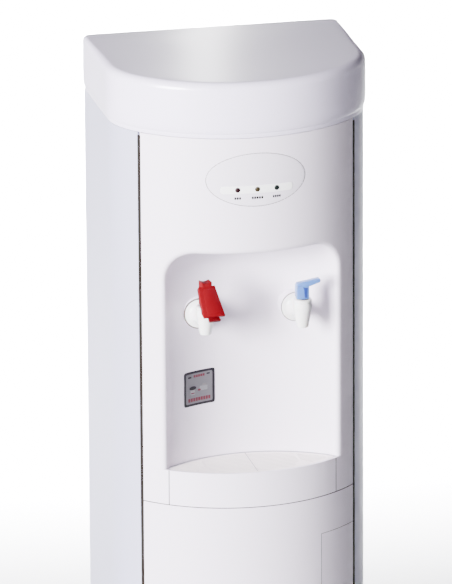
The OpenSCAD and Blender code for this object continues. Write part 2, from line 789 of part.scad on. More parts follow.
module tank_shelf() color("silver") {
    tall(shelf_z, shelf_top) difference() {
        intersection() {
            d_area(inner_u, panel_back - 2 - seat);
            translate([-clear_out, boss_back + 16]) square([2 * clear_out, clear_out]);
        }
        // ways through for the tube and the wires
        translate([rise_x, rise_y]) circle(r = tube_r + 3);
        translate([wire_x, wire_y]) circle(r = 5);
    }
    for (side = [-1, 1]) translate([side * (half_w - wall - seat - sheet / 2), corner_y + 8, shelf_z - 20])
        translate([-sheet / 2, 0, 0]) cube([sheet, panel_back - 4 - corner_y - 8, 20.5]);
}

module cold_tank() color("silver") at_tank(tap_x) {
    difference() {
        translate([0, 0, tank_z]) cylinder(r = cold_r, h = cold_h);
        translate([0, 0, tank_z + 1]) cylinder(r = cold_r - 1, h = cold_h);
    }
    difference() {
        nipple(cold_r);
        translate([0, 0, tank_z + 1]) cylinder(r = cold_r - 1, h = cold_h);
    }
}

module at_tank(x) translate([x, tank_y, 0]) children();
module nipple(r) translate([0, -r + 3, tap_z]) rotate([90, 0, 0]) difference() {
    cylinder(r = barb_r, h = 9);
    translate([0, 0, -1]) cylinder(r = 2.6, h = 20);
}

module insulation(cavity, outer, height) difference() {
    translate([0, 0, shelf_top]) cylinder(r = outer, h = tank_z - shelf_top + height);
    translate([0, 0, tank_z]) cylinder(r = cavity, h = height + 1);
    translate([0, 0, tap_z]) rotate([90, 0, 0]) cylinder(r = 6.6, h = 200);
}

module cold_insulation() color("khaki") at_tank(tap_x) insulation(cold_cavity, cold_foam, cold_h);
module hot_insulation() color("khaki") at_tank(-tap_x) insulation(hot_r + seat, hot_foam, hot_h);

module cold_tank_cover() color("white") at_tank(tap_x) {
    difference() {
        union() {
            translate([0, 0, cold_top + 0.05]) cylinder(r = cold_foam, h = 5);
            translate([0, 0, cold_top - 3]) cylinder(r = cold_r - 1.2, h = 5);
        }
        translate([float_x, 0, cold_top - 5]) cylinder(r = 5.1, h = 20);
    }
}

coil_pitch = 2 * coil_tube_r + 3.4;
coil_rings = 24; // straight runs in each turn
echo(str("least gap between evaporator turns: ", coil_pitch - 2 * coil_tube_r));
module evaporator_coil() color("peru") at_tank(tap_x) translate([0, 0, tap_z + 24])
    helix((cold_r + coil_tube_r + 0.3) / cos(180 / coil_rings), coil_tube_r, coil_pitch, coil_turns,
        coil_rings, 6);

float_x = 30; // valve, from the tank's centre
float_z = cold_top - 24; // arm pivot
float_drop = 25; // the arm hangs at this angle when the tank is empty
float_r = 11;
float_arm_l = 50;
module float_valve() color("white") at_tank(tap_x) difference() {
    union() {
        translate([float_x, 0, cold_top - 14]) cylinder(r = 5, h = 34);
        box([float_x - 7, -7, cold_top - 16], [float_x + 7, 7, cold_top - 3.1]);
        for (side = [-1, 1]) translate([float_x - 10, side * 5 - 1.5, float_z - 4])
            cube([8, 3, cold_top - 12 - float_z + 4]);
        translate([float_x - 6, 6, float_z]) rotate([90, 0, 0]) cylinder(r = 1.5, h = 12);
    }
    translate([float_x, 0, cold_top - 20]) cylinder(r = 1.5, h = 60);
}

module float_arm() color("lightblue") at_tank(tap_x)
    translate([float_x - 6, 0, float_z]) rotate([0, -float_drop, 0]) difference() {
        union() {
            rotate([90, 0, 0]) translate([0, 0, -3]) cylinder(r = 3.4, h = 6);
            rotate([0, -90, 0]) cylinder(r = 1.6, h = float_arm_l - float_r + 1);
            translate([-float_arm_l, 0, 0]) rotate([0, 0, 90]) sphere(r = float_r);
        }
        rotate([90, 0, 0]) translate([0, 0, -5]) cylinder(r = 1.5 + run_gap, h = 10);
    }

module hot_tank() color("silver") at_tank(-tap_x) {
    difference() {
        union() {
            translate([0, 0, tank_z]) cylinder(r = hot_r, h = hot_h);
            nipple(hot_r);
        }
        translate([0, 0, tank_z + 1]) cylinder(r = hot_r - 1, h = hot_h - 2);
        translate([0, 0, hot_top - 5]) cylinder(r = 12, h = 10);
        translate([0, -hot_r + 5, tap_z]) rotate([90, 0, 0]) cylinder(r = 2.6, h = 30);
    }
}

module hot_heater() color("gray") at_tank(-tap_x) {
    translate([0, 0, hot_top + 0.05]) cylinder(r = 20, h = 5);
    translate([0, 0, hot_top - 4]) cylinder(r = 11.8, h = 6);
    for (side = [-1, 1]) translate([side * 7, 0, tank_z + 20]) cylinder(r = 3, h = hot_h - 22);
    translate([0, 0, tank_z + 20]) rotate([-90, 0, 0])
        rotate_extrude(angle = 180) translate([7, 0]) circle(r = 3);
    // thermostats clipped beside the flange
    for (side = [-1, 1]) translate([side * 30, 0, hot_top + 0.05]) cylinder(r = 7, h = 8);
}

module filter_bracket() color("silver") {
    right = half_w - wall - seat;
    tall(bracket_z, bracket_z + sheet) difference() {
        intersection() {
            d_area(inner_u, back_y);
            translate([filter_x - filter_r - 4, filter_y[0] - 14])
                square([clear_out, filter_y[1] - filter_y[0] + 38]);
        }
        // notched past the side panel's inner edge
        translate([half_w - 34, -clear_out]) square([clear_out, clear_out + corner_y - 32]);
    }
    box([right - sheet, corner_y + 6, bracket_z - 30], [right, filter_y[1] + 24, bracket_z + 1]);
}

module filter_cartridges() color("whitesmoke") for (y = filter_y)
    translate([filter_x, y, bracket_z - 0.05 - filter_h]) {
        translate([0, 0, 6]) cylinder(r = filter_r, h = filter_h - 46);
        cylinder(r1 = filter_r - 8, r2 = filter_r - 0.5, h = 7);
        translate([0, 0, filter_h - 41]) cylinder(r = filter_r - 3, h = 20);
        translate([0, 0, filter_h - 22]) cylinder(r = 14, h = 22);
        translate([-22, 0, filter_h - 12]) rotate([0, 90, 0]) cylinder(r = 5, h = 44);
    }

tube_r = 3.2;
elbow_r = 5;
rise_x = half_w - wall - 9;
rise_y = panel_back - 14;
wire_x = -half_w + wall + 10;
wire_y = panel_back - 25;
module water_tubes() color("aliceblue") {
    y_back = recess_y - 14.1;
    f0 = filter_y[0];
    f1 = filter_y[1];
    port_z = bracket_z - 12.05;
    left = filter_x - 22.1;
    right = filter_x + 22.1;
    up_x = right + 8;
    up_y = f0 + 26;
    top = cold_top + 34;
    valve_x = tap_x + float_x;
    // inlet to the first filter, on to the second, and up to the float valve
    run([[inlet_x, y_back, inlet_z], [inlet_x, y_back - 10, inlet_z],
        [inlet_x + 22, y_back - 10, inlet_z + 12], [inlet_x + 22, f1 + 8, port_z],
        [right + 6, f1, port_z], [right, f1, port_z]], tube_r, elbow_r);
    run([[left, f1, port_z], [left - 8, f1, port_z], [left - 8, f0, port_z], [left, f0, port_z]],
        tube_r, elbow_r);
    run([[right, f0, port_z], [up_x, f0, port_z], [up_x, up_y, port_z], [up_x, up_y, bracket_z - 0.1]],
        tube_r, elbow_r);
    run([[up_x, up_y, bracket_z + sheet + 0.1], [up_x, up_y, bracket_z + 16],
        [rise_x, rise_y, bracket_z + 24], [rise_x, rise_y, top], [valve_x, tank_y, top],
        [valve_x, tank_y, cold_top + 20.05]], tube_r, elbow_r);
    // sleeves from the tanks to the taps
    for (side = [[tap_x, cold_r], [-tap_x, hot_r]]) {
        low = boss_back + shank_tail + 0.3;
        high = tank_y - side[1] - 0.5;
        translate([side[0], high, tap_z]) rotate([90, 0, 0]) difference() {
            cylinder(r = 6, h = high - low);
            translate([0, 0, -1]) cylinder(r = barb_r + 0.05, h = high - low + 2);
        }
    }
}

function mount_points() = [for (x = [-1, 1]) for (y = [-1, 1]) [comp_x + x * 62, comp_y + y * 50]];
module compressor() color([0.12, 0.12, 0.13]) {
    translate([comp_x, comp_y, comp_z]) {
        difference() {
            union() {
                translate([0, 0, 12]) cylinder(r = comp_r, h = comp_h - 42);
                cylinder(r1 = comp_r - 14, r2 = comp_r - 0.5, h = 13);
                translate([0, 0, comp_h - 31]) cylinder(r1 = comp_r - 0.5, r2 = comp_r - 16, h = 19);
                translate([0, 0, comp_h - 13]) cylinder(r1 = comp_r - 16, r2 = comp_r - 34, h = 7);
            }
            translate([0, 0, 15]) cylinder(r = comp_r - 3, h = comp_h - 48);
        }
        translate([0, 0, 14.9]) cylinder(r = 30, h = 70);
        box([comp_r - 8, -20, 40], [comp_r + 12, 20, 80]);
    }
    difference() {
        tall(comp_z - 2, comp_z + 0.5) translate([comp_x - 72, comp_y - 60]) square([144, 120]);
        tall(comp_z - 5, comp_z + 5) for (p = mount_points()) translate(p) circle(r = 5);
    }
}

module compressor_mounts() color("dimgray") for (p = mount_points())
    translate([p[0], p[1], base_top + 0.05]) {
        cylinder(r = 9, h = comp_z - 2.1 - base_top - 0.05);
        translate([0, 0, -2.5]) cylinder(r = 4.9, h = comp_z - base_top + 6);
    }

module condenser() color([0.1, 0.1, 0.11]) {
    bend = cond_pitch / 2;
    // rows joined by U-bends of short straight runs
    path = [[-cond_x, 0, 0],
        for (i = [0 : cond_rows - 2]) for (k = [0 : 5]) let (a = 36 * k - 90, side = i % 2 == 0 ? 1 : -1)
            [side * (cond_x + bend * cos(a)), 0, i * cond_pitch + bend * (1 + sin(a))],
        [cond_x, 0, (cond_rows - 1) * cond_pitch]];
    translate([0, cond_y, cond_z]) run(path, cond_r, cond_r + 0.5);
    wire_r = 0.8;
    reach = cond_x - 8;
    for (i = [-11 : 11]) for (side = [-1, 1])
        translate([i * reach / 11, cond_y + side * (cond_r + wire_r + 0.05), cond_z - 8])
            cylinder(r = wire_r, h = (cond_rows - 1) * cond_pitch + 16, $fn = 16);
    // stand-offs that hold it on the back panel
    for (side = [-1, 1]) for (i = [1, cond_rows - 2])
        translate([side * (reach - 5), recess_y + 0.05, cond_z + i * cond_pitch]) rotate([-90, 0, 0])
            cylinder(r = 3, h = cond_y - recess_y - 1);
}

module refrigerant_pipes() color("peru") {
    hot = pipe_holes[1];
    liquid = pipe_holes[0];
    inside = panel_back - 8;
    end_y = cond_y - cond_r - 0.05;
    dryer_x = half_w - 30;
    rise = comp_z + comp_h + 12;
    // hot gas from the compressor to the condenser's lower end
    run([[comp_x, comp_y, comp_z + comp_h - 5.95], [comp_x, comp_y, rise], [hot[0], inside, rise],
        [hot[0], inside, hot[1]], [hot[0], end_y, hot[1]]], 2.2, 2.8);
    // liquid from its upper end through the dryer
    run([[liquid[0], end_y, liquid[1]], [liquid[0], inside, liquid[1]], [liquid[0], inside, liquid[1] - 30],
        [dryer_x, inside, liquid[1] - 30], [dryer_x, inside, liquid[1] - 170]], 2.2, 2.8);
    translate([dryer_x, inside, liquid[1] - 130]) cylinder(r = 7, h = 70);
}

module power_panel() color([0.15, 0.15, 0.16]) {
    difference() {
        union() {
            box([power_x - 30, recess_y + 0.05, power_z - 46], [power_x + 30, recess_y + 2, power_z + 46]);
            box([power_x - 23.5, panel_back - 22, power_z - 39.5],
                [power_x + 23.5, recess_y + 1, power_z + 39.5]);
        }
        // mains socket
        box([power_x - 12, recess_y - 14, power_z - 34], [power_x + 12, recess_y + 4, power_z - 16]);
        for (i = [0, 1]) switch_room(power_z + 4 + 22 * i);
    }
    for (x = [-5, 0, 5]) translate([power_x + x - 1, recess_y - 15, power_z - 27]) cube([2, 13, 4]);
}

rocker_r = 9;
rocker_tilt = 8;
rocker_y = recess_y - 3;
module switch_room(z) {
    box([power_x - 8.3, rocker_y - rocker_r - 0.5, z - rocker_r - 0.3],
        [power_x + 8.3, recess_y + 4, z + rocker_r + 0.3]);
    translate([power_x - 9.5, rocker_y, z]) rotate([0, 90, 0]) cylinder(r = 1.5 + run_gap, h = 19);
}

module rocker(z) translate([power_x, rocker_y, z]) rotate([rocker_tilt, 0, 0]) {
    intersection() {
        rotate([0, 90, 0]) translate([0, 0, -8]) cylinder(r = rocker_r, h = 16);
        rotate([90, 0, 90]) translate([0, 0, -8]) linear_extrude(16)
            polygon([[-10, -10], [7.2, -10], [4.7, 0], [7.2, 10], [-10, 10]]);
    }
    rotate([0, 90, 0]) translate([0, 0, -9.2]) cylinder(r = 1.5, h = 18.4);
}

module hot_switch() color([0.75, 0.08, 0.1]) rocker(power_z + 4);
module cold_switch() color([0.15, 0.4, 0.2]) rocker(power_z + 26);

module water_inlet() color("white") translate([inlet_x, 0, inlet_z]) rotate([90, 0, 0]) difference() {
    union() {
        translate([0, 0, -recess_y - 16]) cylinder(r = 7, h = 30);
        translate([0, 0, -recess_y - 3]) cylinder(r = 11, h = 2.95);
    }
    translate([0, 0, -recess_y - 17]) cylinder(r = 3.25, h = 16);
}

module drain_plugs() color("white") for (x = drain_x) translate([x, 0, inlet_z]) rotate([90, 0, 0]) {
    translate([0, 0, -recess_y - 8]) cylinder(r = 7, h = 20);
    translate([0, 0, -recess_y - 3]) cylinder(r = 10, h = 2.95);
    translate([0, 0, -recess_y - 14]) cylinder(r = 8.5, h = 8, $fn = 6);
}

module wiring_harness() color("dimgray") {
    x = wire_x;
    y = wire_y;
    high = cold_top + 14;
    turn_y = front_y + 66;
    turn_x = -sqrt(pow(front_r - wall - tongue_t - 14, 2) - pow(arc_y - turn_y, 2));
    run([[power_x - 10, y, power_z + 30], [x, y, power_z + 30], [x, y, high], [turn_x, turn_y, high],
        [-40, board_y + 12, high], [-40, board_y + 12, window_z + 12]], 2.5, 3.2);
}

top_lid();
side_panel_left();
side_panel_right();
back_panel();
base_pan();
rubber_feet();
upper_front_panel();
lower_front_panel();
service_hatch();
seam_trims();
tray_shelf();
drip_tray();
drip_grille();
indicator_panel();
indicator_window();
indicator_lamps();
control_board();
label_plate();
tap_nuts();
hot_tap_body();
hot_bonnet();
hot_slip_ring();
hot_stem();
hot_seal();
hot_spring();
hot_lever();
hot_lever_pin();
hot_safety_catch();
cold_tap_body();
cold_bonnet();
cold_slip_ring();
cold_stem();
cold_seal();
cold_spring();
cold_lever();
cold_lever_pin();
cold_tank();
cold_tank_cover();
cold_insulation();
evaporator_coil();
float_valve();
float_arm();
hot_tank();
hot_insulation();
hot_heater();
tank_shelf();
filter_bracket();
filter_cartridges();
water_tubes();
compressor();
compressor_mounts();
condenser();
refrigerant_pipes();
power_panel();
hot_switch();
cold_switch();
water_inlet();
drain_plugs();
wiring_harness();
panel_screws();
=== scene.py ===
import json
import math
import bpy
import numpy as np
from mathutils import Matrix, Vector


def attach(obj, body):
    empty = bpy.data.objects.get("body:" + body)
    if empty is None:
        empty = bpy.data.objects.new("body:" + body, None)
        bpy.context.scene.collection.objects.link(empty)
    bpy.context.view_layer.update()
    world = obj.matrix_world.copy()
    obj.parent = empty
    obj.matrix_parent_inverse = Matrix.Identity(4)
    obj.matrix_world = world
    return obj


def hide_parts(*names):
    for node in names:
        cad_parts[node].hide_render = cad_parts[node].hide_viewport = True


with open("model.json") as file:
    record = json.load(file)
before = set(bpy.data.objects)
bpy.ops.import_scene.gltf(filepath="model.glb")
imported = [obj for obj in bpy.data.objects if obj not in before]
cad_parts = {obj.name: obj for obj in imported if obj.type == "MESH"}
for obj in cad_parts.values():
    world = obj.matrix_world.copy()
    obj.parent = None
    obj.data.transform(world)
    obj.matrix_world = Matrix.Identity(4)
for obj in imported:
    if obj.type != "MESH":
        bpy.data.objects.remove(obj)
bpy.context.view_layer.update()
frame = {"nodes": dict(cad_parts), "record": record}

nodes = frame["nodes"]
print("frame loaded:", len(nodes), "nodes")

# The cabinet's plan, in metres: a round front between two corner rounds and flat sides.
plan = {"halfWidth": 0.160, "frontRadius": 0.183, "arcY": 0.057674, "cornerX": 0.063764, "cornerY": -0.001167,
        "backY": 0.137674, "seamAngle": 47.3, "seamHalf": 0.47, "panelTop": 0.9087, "split": 0.435}
alcove = {"floor": 0.480, "top": 0.764, "half": 0.111, "corner": 0.039, "radius": 0.166225,
          "centreY": -0.211551, "cove": 0.040, "lip": 0.0075, "blend": 0.012}
taps = {"x": 0.061, "y": -0.103326, "z": 0.672, "flangeY": -0.066719, "turn": 7.0}


def deselect():
    if bpy.context.object and bpy.context.object.mode != "OBJECT":
        bpy.ops.object.mode_set(mode="OBJECT")
    bpy.ops.object.select_all(action="DESELECT")


def take(piece):
    deselect()
    piece.select_set(True)
    bpy.context.view_layer.objects.active = piece
    return piece


def editing(piece):
    take(piece)
    bpy.ops.object.mode_set(mode="EDIT")
    bpy.ops.mesh.select_mode(type="VERT")


# Camera at the photograph's place: far off, to the left and above.
camera = {"place": (-1.8746, -8.3463, 3.3830), "yaw": 12.58, "down": 17.57, "roll": -0.35, "lens": 446.45,
          "sensor": 36, "reach": 100}


def makeCamera():
    yaw, down, roll = (math.radians(camera[k]) for k in ("yaw", "down", "roll"))
    ahead = Vector((math.sin(yaw) * math.cos(down), math.cos(yaw) * math.cos(down), -math.sin(down)))
    right = Vector((math.cos(yaw), -math.sin(yaw), 0))
    upward = right.cross(ahead)
    right, upward = (right * math.cos(roll) + upward * math.sin(roll),
                     upward * math.cos(roll) - right * math.sin(roll))
    lens = bpy.data.cameras.new("photoCamera")
    lens.lens = camera["lens"]
    lens.sensor_width = camera["sensor"]
    lens.clip_end = camera["reach"]
    holder = bpy.data.objects.new("photoCamera", lens)
    bpy.context.collection.objects.link(holder)
    turn = Matrix((right, upward, -ahead)).transposed().to_4x4()
    holder.matrix_world = Matrix.Translation(camera["place"]) @ turn
    bpy.context.scene.camera = holder


makeCamera()
print("camera set")

# Soft studio light: a large soft box at the left, a weak one at the right, a band behind for the lid's sheen,
# and two boxes that keep to the floor behind the cabinet.
white = (1, 1, 1)
lights = [{"name": "leftBox", "place": (-3.92, -3.0, 1.9), "aim": (0, 0, 0.7), "size": (1.9, 2.2),
           "power": 1650, "tint": (0.98, 0.97, 1.0), "spread": 180},
          {"name": "rightFill", "place": (4.0, -1.5, 1.6), "aim": (0, 0, 0.6), "size": (2.0, 3.0),
           "power": 3, "tint": (0.95, 0.85, 1.0), "spread": 180},
          {"name": "backBand", "place": (1.165, 5.5, 2.72), "aim": (0, 0, 0.98), "size": (0.09, 1.6),
           "power": 11, "tint": (1.0, 0.99, 1.0), "spread": 180},
          {"name": "nearFloorBox", "place": (0.1, 1.65, 1.5), "aim": (0.1, 1.65, 0), "size": (3.2, 1.1),
           "power": 560, "tint": white, "spread": 50},
          {"name": "backdropBox", "place": (0.6, 3.5, 3.0), "aim": (0.6, 3.5, 0), "size": (1.2, 3.4),
           "power": 2500, "tint": white, "spread": 70}]

# The room: pale round the horizon, dim above it, on a floor that brightens away from the cabinet.
room = {"sky": (0.95, 0.88, 1, 1), "horizon": 0.9, "above": 0.03, "skyLow": 0.04, "skyHigh": 0.22,
        "floorSize": 120, "floor": (0.30, 0.30, 0.31, 1), "floorRoughness": 0.9, "glow": 1.0, "near": 3.5,
        "far": 8.0}


def fadeNode(tree, low, high, first, last):  # a value between low and high becomes one between first and last
    fade = tree.nodes.new("ShaderNodeMapRange")
    for label, value in (("From Min", low), ("From Max", high), ("To Min", first), ("To Max", last)):
        fade.inputs[label].default_value = value
    return fade


def makeLights():
    for setting in lights:
        lamp = bpy.data.lights.new(setting["name"], "AREA")
        lamp.shape = "RECTANGLE"
        lamp.size, lamp.size_y = setting["size"]
        lamp.energy = setting["power"]
        lamp.color = setting["tint"]
        holder = bpy.data.objects.new(setting["name"], lamp)
        bpy.context.collection.objects.link(holder)
        holder.location = setting["place"]
        lamp.spread = math.radians(setting["spread"])
        aim = Vector(setting["aim"]) - Vector(setting["place"])
        holder.rotation_euler = aim.to_track_quat("-Z", "Y").to_euler()
    world = bpy.context.scene.world or bpy.data.worlds.new("studio")
    bpy.context.scene.world = world
    world.use_nodes = True
    tree = world.node_tree
    sky = tree.nodes.get("Background")
    sky.inputs["Color"].default_value = room["sky"]
    place, parts = tree.nodes.new("ShaderNodeTexCoord"), tree.nodes.new("ShaderNodeSeparateXYZ")
    fade = fadeNode(tree, room["skyLow"], room["skyHigh"], room["horizon"], room["above"])
    tree.links.new(place.outputs["Generated"], parts.inputs[0])
    tree.links.new(parts.outputs["Z"], fade.inputs["Value"])
    tree.links.new(fade.outputs["Result"], sky.inputs["Strength"])


makeLights()


def makeFloor():
    deselect()
    bpy.ops.mesh.primitive_plane_add(size=room["floorSize"], location=(0, 0, 0))
    ground = bpy.context.object
    ground.name = "floor"
    paint = bpy.data.materials.new("paleFloor")
    paint.use_nodes = True
    shader = paint.node_tree.nodes["Principled BSDF"]
    shader.inputs["Base Color"].default_value = room["floor"]
    shader.inputs["Roughness"].default_value = room["floorRoughness"]
    shader.inputs["Emission Color"].default_value = (*white, 1)
    tree = paint.node_tree
    place, reach = tree.nodes.new("ShaderNodeTexCoord"), tree.nodes.new("ShaderNodeVectorMath")
    reach.operation = "LENGTH"
    fade = fadeNode(tree, room["near"], room["far"], 0.0, room["glow"])
    tree.links.new(place.outputs["Object"], reach.inputs[0])
    tree.links.new(reach.outputs["Value"], fade.inputs["Value"])
    tree.links.new(fade.outputs["Result"], shader.inputs["Emission Strength"])
    ground.data.materials.append(paint)


makeFloor()
print("lights and floor set")


# Moulded plastic and paint: faint clouding of the colour, uneven gloss and a fine grain.
def surfaceGroup():
    group = bpy.data.node_groups.new("finish", "ShaderNodeTree")
    number = "NodeSocketFloat"
    sockets = {"INPUT": {"Colour": "NodeSocketColor", "Clouding": number, "Cloud size": number,
                         "Gloss": number, "Gloss change": number, "Grain size": number,
                         "Stretch": "NodeSocketVector"},
               "OUTPUT": {"Colour": "NodeSocketColor", "Roughness": number, "Height": number}}
    for way, kinds in sockets.items():
        for label, kind in kinds.items():
            group.interface.new_socket(name=label, in_out=way, socket_type=kind)
    made = group.nodes.new
    wire = group.links.new
    start, end = made("NodeGroupInput"), made("NodeGroupOutput")
    place = made("ShaderNodeTexCoord")
    stretched = made("ShaderNodeVectorMath")
    stretched.operation = "MULTIPLY"
    wire(place.outputs["Object"], stretched.inputs[0])
    wire(start.outputs["Stretch"], stretched.inputs[1])
    cloud, grain = made("ShaderNodeTexNoise"), made("ShaderNodeTexNoise")
    cloud.inputs["Detail"].default_value = 3
    grain.inputs["Detail"].default_value = 2
    wire(stretched.outputs[0], cloud.inputs["Vector"])
    wire(stretched.outputs[0], grain.inputs["Vector"])
    wire(start.outputs["Cloud size"], cloud.inputs["Scale"])
    wire(start.outputs["Grain size"], grain.inputs["Scale"])
    centred = made("ShaderNodeMath")
    centred.operation = "SUBTRACT"
    centred.inputs[1].default_value = 0.5
    wire(cloud.outputs["Fac"], centred.inputs[0])
    amount = made("ShaderNodeMath")
    amount.operation = "MULTIPLY_ADD"
    amount.inputs[2].default_value = 1
    wire(centred.outputs[0], amount.inputs[0])
    wire(start.outputs["Clouding"], amount.inputs[1])
    shade = made("ShaderNodeVectorMath")
    shade.operation = "SCALE"
    wire(start.outputs["Colour"], shade.inputs[0])
    wire(amount.outputs[0], shade.inputs["Scale"])
    wire(shade.outputs[0], end.inputs["Colour"])
    gloss = made("ShaderNodeMath")
    gloss.operation = "MULTIPLY_ADD"
    wire(centred.outputs[0], gloss.inputs[0])
    wire(start.outputs["Gloss change"], gloss.inputs[1])
    wire(start.outputs["Gloss"], gloss.inputs[2])
    wire(gloss.outputs[0], end.inputs["Roughness"])
    wire(grain.outputs["Fac"], end.inputs["Height"])
    return group


finishGroup = surfaceGroup()


def finish(name, colour, gloss=0.3, clouding=0.05, cloudSize=6.0, glossChange=0.06, grainSize=900.0,
           grain=0.05, depth=0.0002, metal=0.0, coat=0.0, coatGloss=0.1, stretch=(1, 1, 1), under=0.0,
           shine=0.5, glow=0.0):
    paint = bpy.data.materials.new(name)
    paint.use_nodes = True
    tree = paint.node_tree
    shader = tree.nodes["Principled BSDF"]
    effect = tree.nodes.new("ShaderNodeGroup")
    effect.node_tree = finishGroup
    for label, value in (("Colour", (*colour, 1)), ("Clouding", clouding), ("Cloud size", cloudSize),
                         ("Gloss", gloss), ("Gloss change", glossChange), ("Grain size", grainSize),
                         ("Stretch", stretch)):
        effect.inputs[label].default_value = value
    bump = tree.nodes.new("ShaderNodeBump")
    bump.inputs["Strength"].default_value = grain
    bump.inputs["Distance"].default_value = depth
    tree.links.new(effect.outputs["Colour"], shader.inputs["Base Color"])
    tree.links.new(effect.outputs["Roughness"], shader.inputs["Roughness"])
    tree.links.new(effect.outputs["Height"], bump.inputs["Height"])
    tree.links.new(bump.outputs["Normal"], shader.inputs["Normal"])
    shader.inputs["Metallic"].default_value = metal
    shader.inputs["Coat Weight"].default_value = coat
    shader.inputs["Coat Roughness"].default_value = coatGloss
    shader.inputs["Specular IOR Level"].default_value = shine
    shader.inputs["Subsurface Weight"].default_value = under
    if glow:  # painted glow: the part gives off light of its own, though it is no lamp
        shader.inputs["Emission Color"].default_value = (*white, 1)
        shader.inputs["Emission Strength"].default_value = glow
    if under:
        shader.inputs["Subsurface Scale"].default_value = 0.002
    return paint


paints = {
    "cover_white": finish("coverWhite", (0.86, 0.79, 0.90), 0.32, 0.03, 5, 0.06, 700, 0.04, coat=0.25,
                          coatGloss=0.18),
    # painted shade: the side covers are the same white as the front covers, given darker and bluer as they
    # look in shade
    "side_white": finish("sideWhitePaintedShade", (0.475, 0.475, 0.62), 0.38, 0.03, 4, 0.06, 1100, 0.05, coat=0.15,
                         coatGloss=0.25),
    "grille_white": finish("grilleWhite", (0.97, 0.89, 0.88), 0.35, 0.04, 20, 0.08, 900, 0.05),
    "panel_white": finish("panelWhite", (0.80, 0.745, 0.84), 0.25, 0.02, 12, 0.04, 900, 0.03, coat=0.4),
    "window_clear": finish("windowGrey", (0.80, 0.80, 0.82), 0.14, 0.03, 25, 0.04, 900, 0.02, coat=0.7,
                           coatGloss=0.05),
    "lamp_red": finish("lampRed", (0.16, 0.02, 0.02), 0.12, 0.2, 300, 0.05, 1500, 0.02, coat=0.6),
    "label_grey": finish("labelGrey", (0.13, 0.125, 0.14), 0.4, 0.05, 60, 0.06, 1500, 0.03),
    "seam_brown": finish("seamBrown", (0.010, 0.0062, 0.0047), 0.8, 0.2, 40, 0.1, 1200, 0.2, shine=0.2),
    "shelf_grey": finish("shelfGrey", (0.7, 0.7, 0.7), 0.5, 0.06, 15, 0.1, 900, 0.1),
    "tap_white": finish("tapWhite", (0.90, 0.89, 0.88), 0.22, 0.03, 40, 0.05, 900, 0.02, coat=0.4, under=0.1),
    "lever_red": finish("leverRed", (0.145, 0.0004, 0.0040), 0.55, 0.08, 60, 0.08, 1200, 0.06, shine=0.15),
    "lever_blue": finish("leverBlue", (0.082, 0.19, 0.50), 0.25, 0.10, 90, 0.06, 1200, 0.04, coat=0.3,
                         under=0.25),
    "bright_steel": finish("brightSteel", (0.60, 0.60, 0.61), 0.28, 0.12, 30, 0.15, 900, 0.1, metal=1,
                           stretch=(1, 1, 0.05)),
    "seal_silicone": finish("sealSilicone", (0.75, 0.74, 0.70), 0.55, 0.05, 90, 0.1, 1500, 0.1),
    "zinc_steel": finish("zincSteel", (0.48, 0.49, 0.51), 0.42, 0.35, 55, 0.3, 900, 0.1, metal=0.9),
    "black_rubber": finish("blackRubber", (0.02, 0.02, 0.02), 0.75, 0.3, 60, 0.15, 1300, 0.4),
    "foam": finish("tankFoam", (0.78, 0.68, 0.42), 0.9, 0.25, 45, 0.1, 350, 0.9, 0.001),
    "copper": finish("drawnCopper", (0.60, 0.27, 0.15), 0.33, 0.3, 60, 0.25, 900, 0.1, metal=1),
    "black_steel": finish("blackSteel", (0.018, 0.018, 0.020), 0.42, 0.3, 25, 0.15, 800, 0.2, coat=0.2),
    "inner_plastic": finish("naturalPlastic", (0.80, 0.81, 0.82), 0.45, 0.06, 30, 0.08, 900, 0.05),
    "float_blue": finish("floatBlue", (0.20, 0.36, 0.60), 0.5, 0.1, 60, 0.1, 900, 0.2),
    "board_green": finish("boardGreen", (0.012, 0.10, 0.03), 0.4, 0.5, 250, 0.2, 600, 0.3),
    "socket_black": finish("socketBlack", (0.022, 0.022, 0.024), 0.5, 0.2, 60, 0.1, 1500, 0.35),
    "rocker_red": finish("rockerRed", (0.50, 0.01, 0.015), 0.25, 0.1, 90, 0.05, 1200, 0.03, coat=0.3),
    "rocker_green": finish("rockerGreen", (0.02, 0.22, 0.06), 0.25, 0.1, 90, 0.05, 1200, 0.03, coat=0.3)}

for part in frame["record"]["subparts"]:
    body = nodes[part["node"]]
    body.data.materials.clear()
    body.data.materials.append(paints[part["material_slot"]])
print("materials on", len(nodes), "nodes")


# A line drawn point by point, from which a piece is swept.
def drawn(name, points):
    deselect()
    bpy.ops.mesh.primitive_plane_add(size=0.0001, location=points[0])
    piece = bpy.context.object
    piece.name = piece.data.name = name
    bpy.ops.object.transform_apply(location=True, rotation=True, scale=True)
    editing(piece)
    bpy.ops.mesh.select_all(action="SELECT")
    bpy.ops.mesh.merge(type="CENTER")
    for here, there in zip(points, points[1:]):
        step = Vector(there) - Vector(here)
        bpy.ops.mesh.extrude_vertices_move(TRANSFORM_OT_translate={"value": step})
    bpy.ops.mesh.select_all(action="SELECT")
    return piece


def sweepRound(centre, degrees, steps, axis=(0, 0, 1)):
    # without a window, spin turns the other way
    bpy.ops.mesh.spin(steps=steps, angle=-math.radians(degrees), center=centre, axis=axis)


def sweepStraight(step):
    bpy.ops.mesh.extrude_region_move(TRANSFORM_OT_translate={"value": step})


def closedUp(merge=0.0):  # the faces of the piece in edit mode turn outwards, and edit mode ends
    bpy.ops.mesh.select_all(action="SELECT")
    if merge:
        bpy.ops.mesh.remove_doubles(threshold=merge)
    bpy.ops.mesh.normals_make_consistent(inside=False)
    bpy.ops.object.mode_set(mode="OBJECT")


def filled(name, outline):  # one flat face
    piece = drawn(name, outline)
    bpy.ops.mesh.edge_face_add()
    bpy.ops.mesh.select_all(action="SELECT")
    return piece


def spunRound(name, line, centre, axis, steps=64, merge=0.00003):
    piece = drawn(name, line)
    sweepRound(centre, 360, steps, axis)
    closedUp(merge)
    return piece


def fromMiddle(x):  # degrees from the middle of the round front
    return math.degrees(math.asin(x / plan["frontRadius"]))


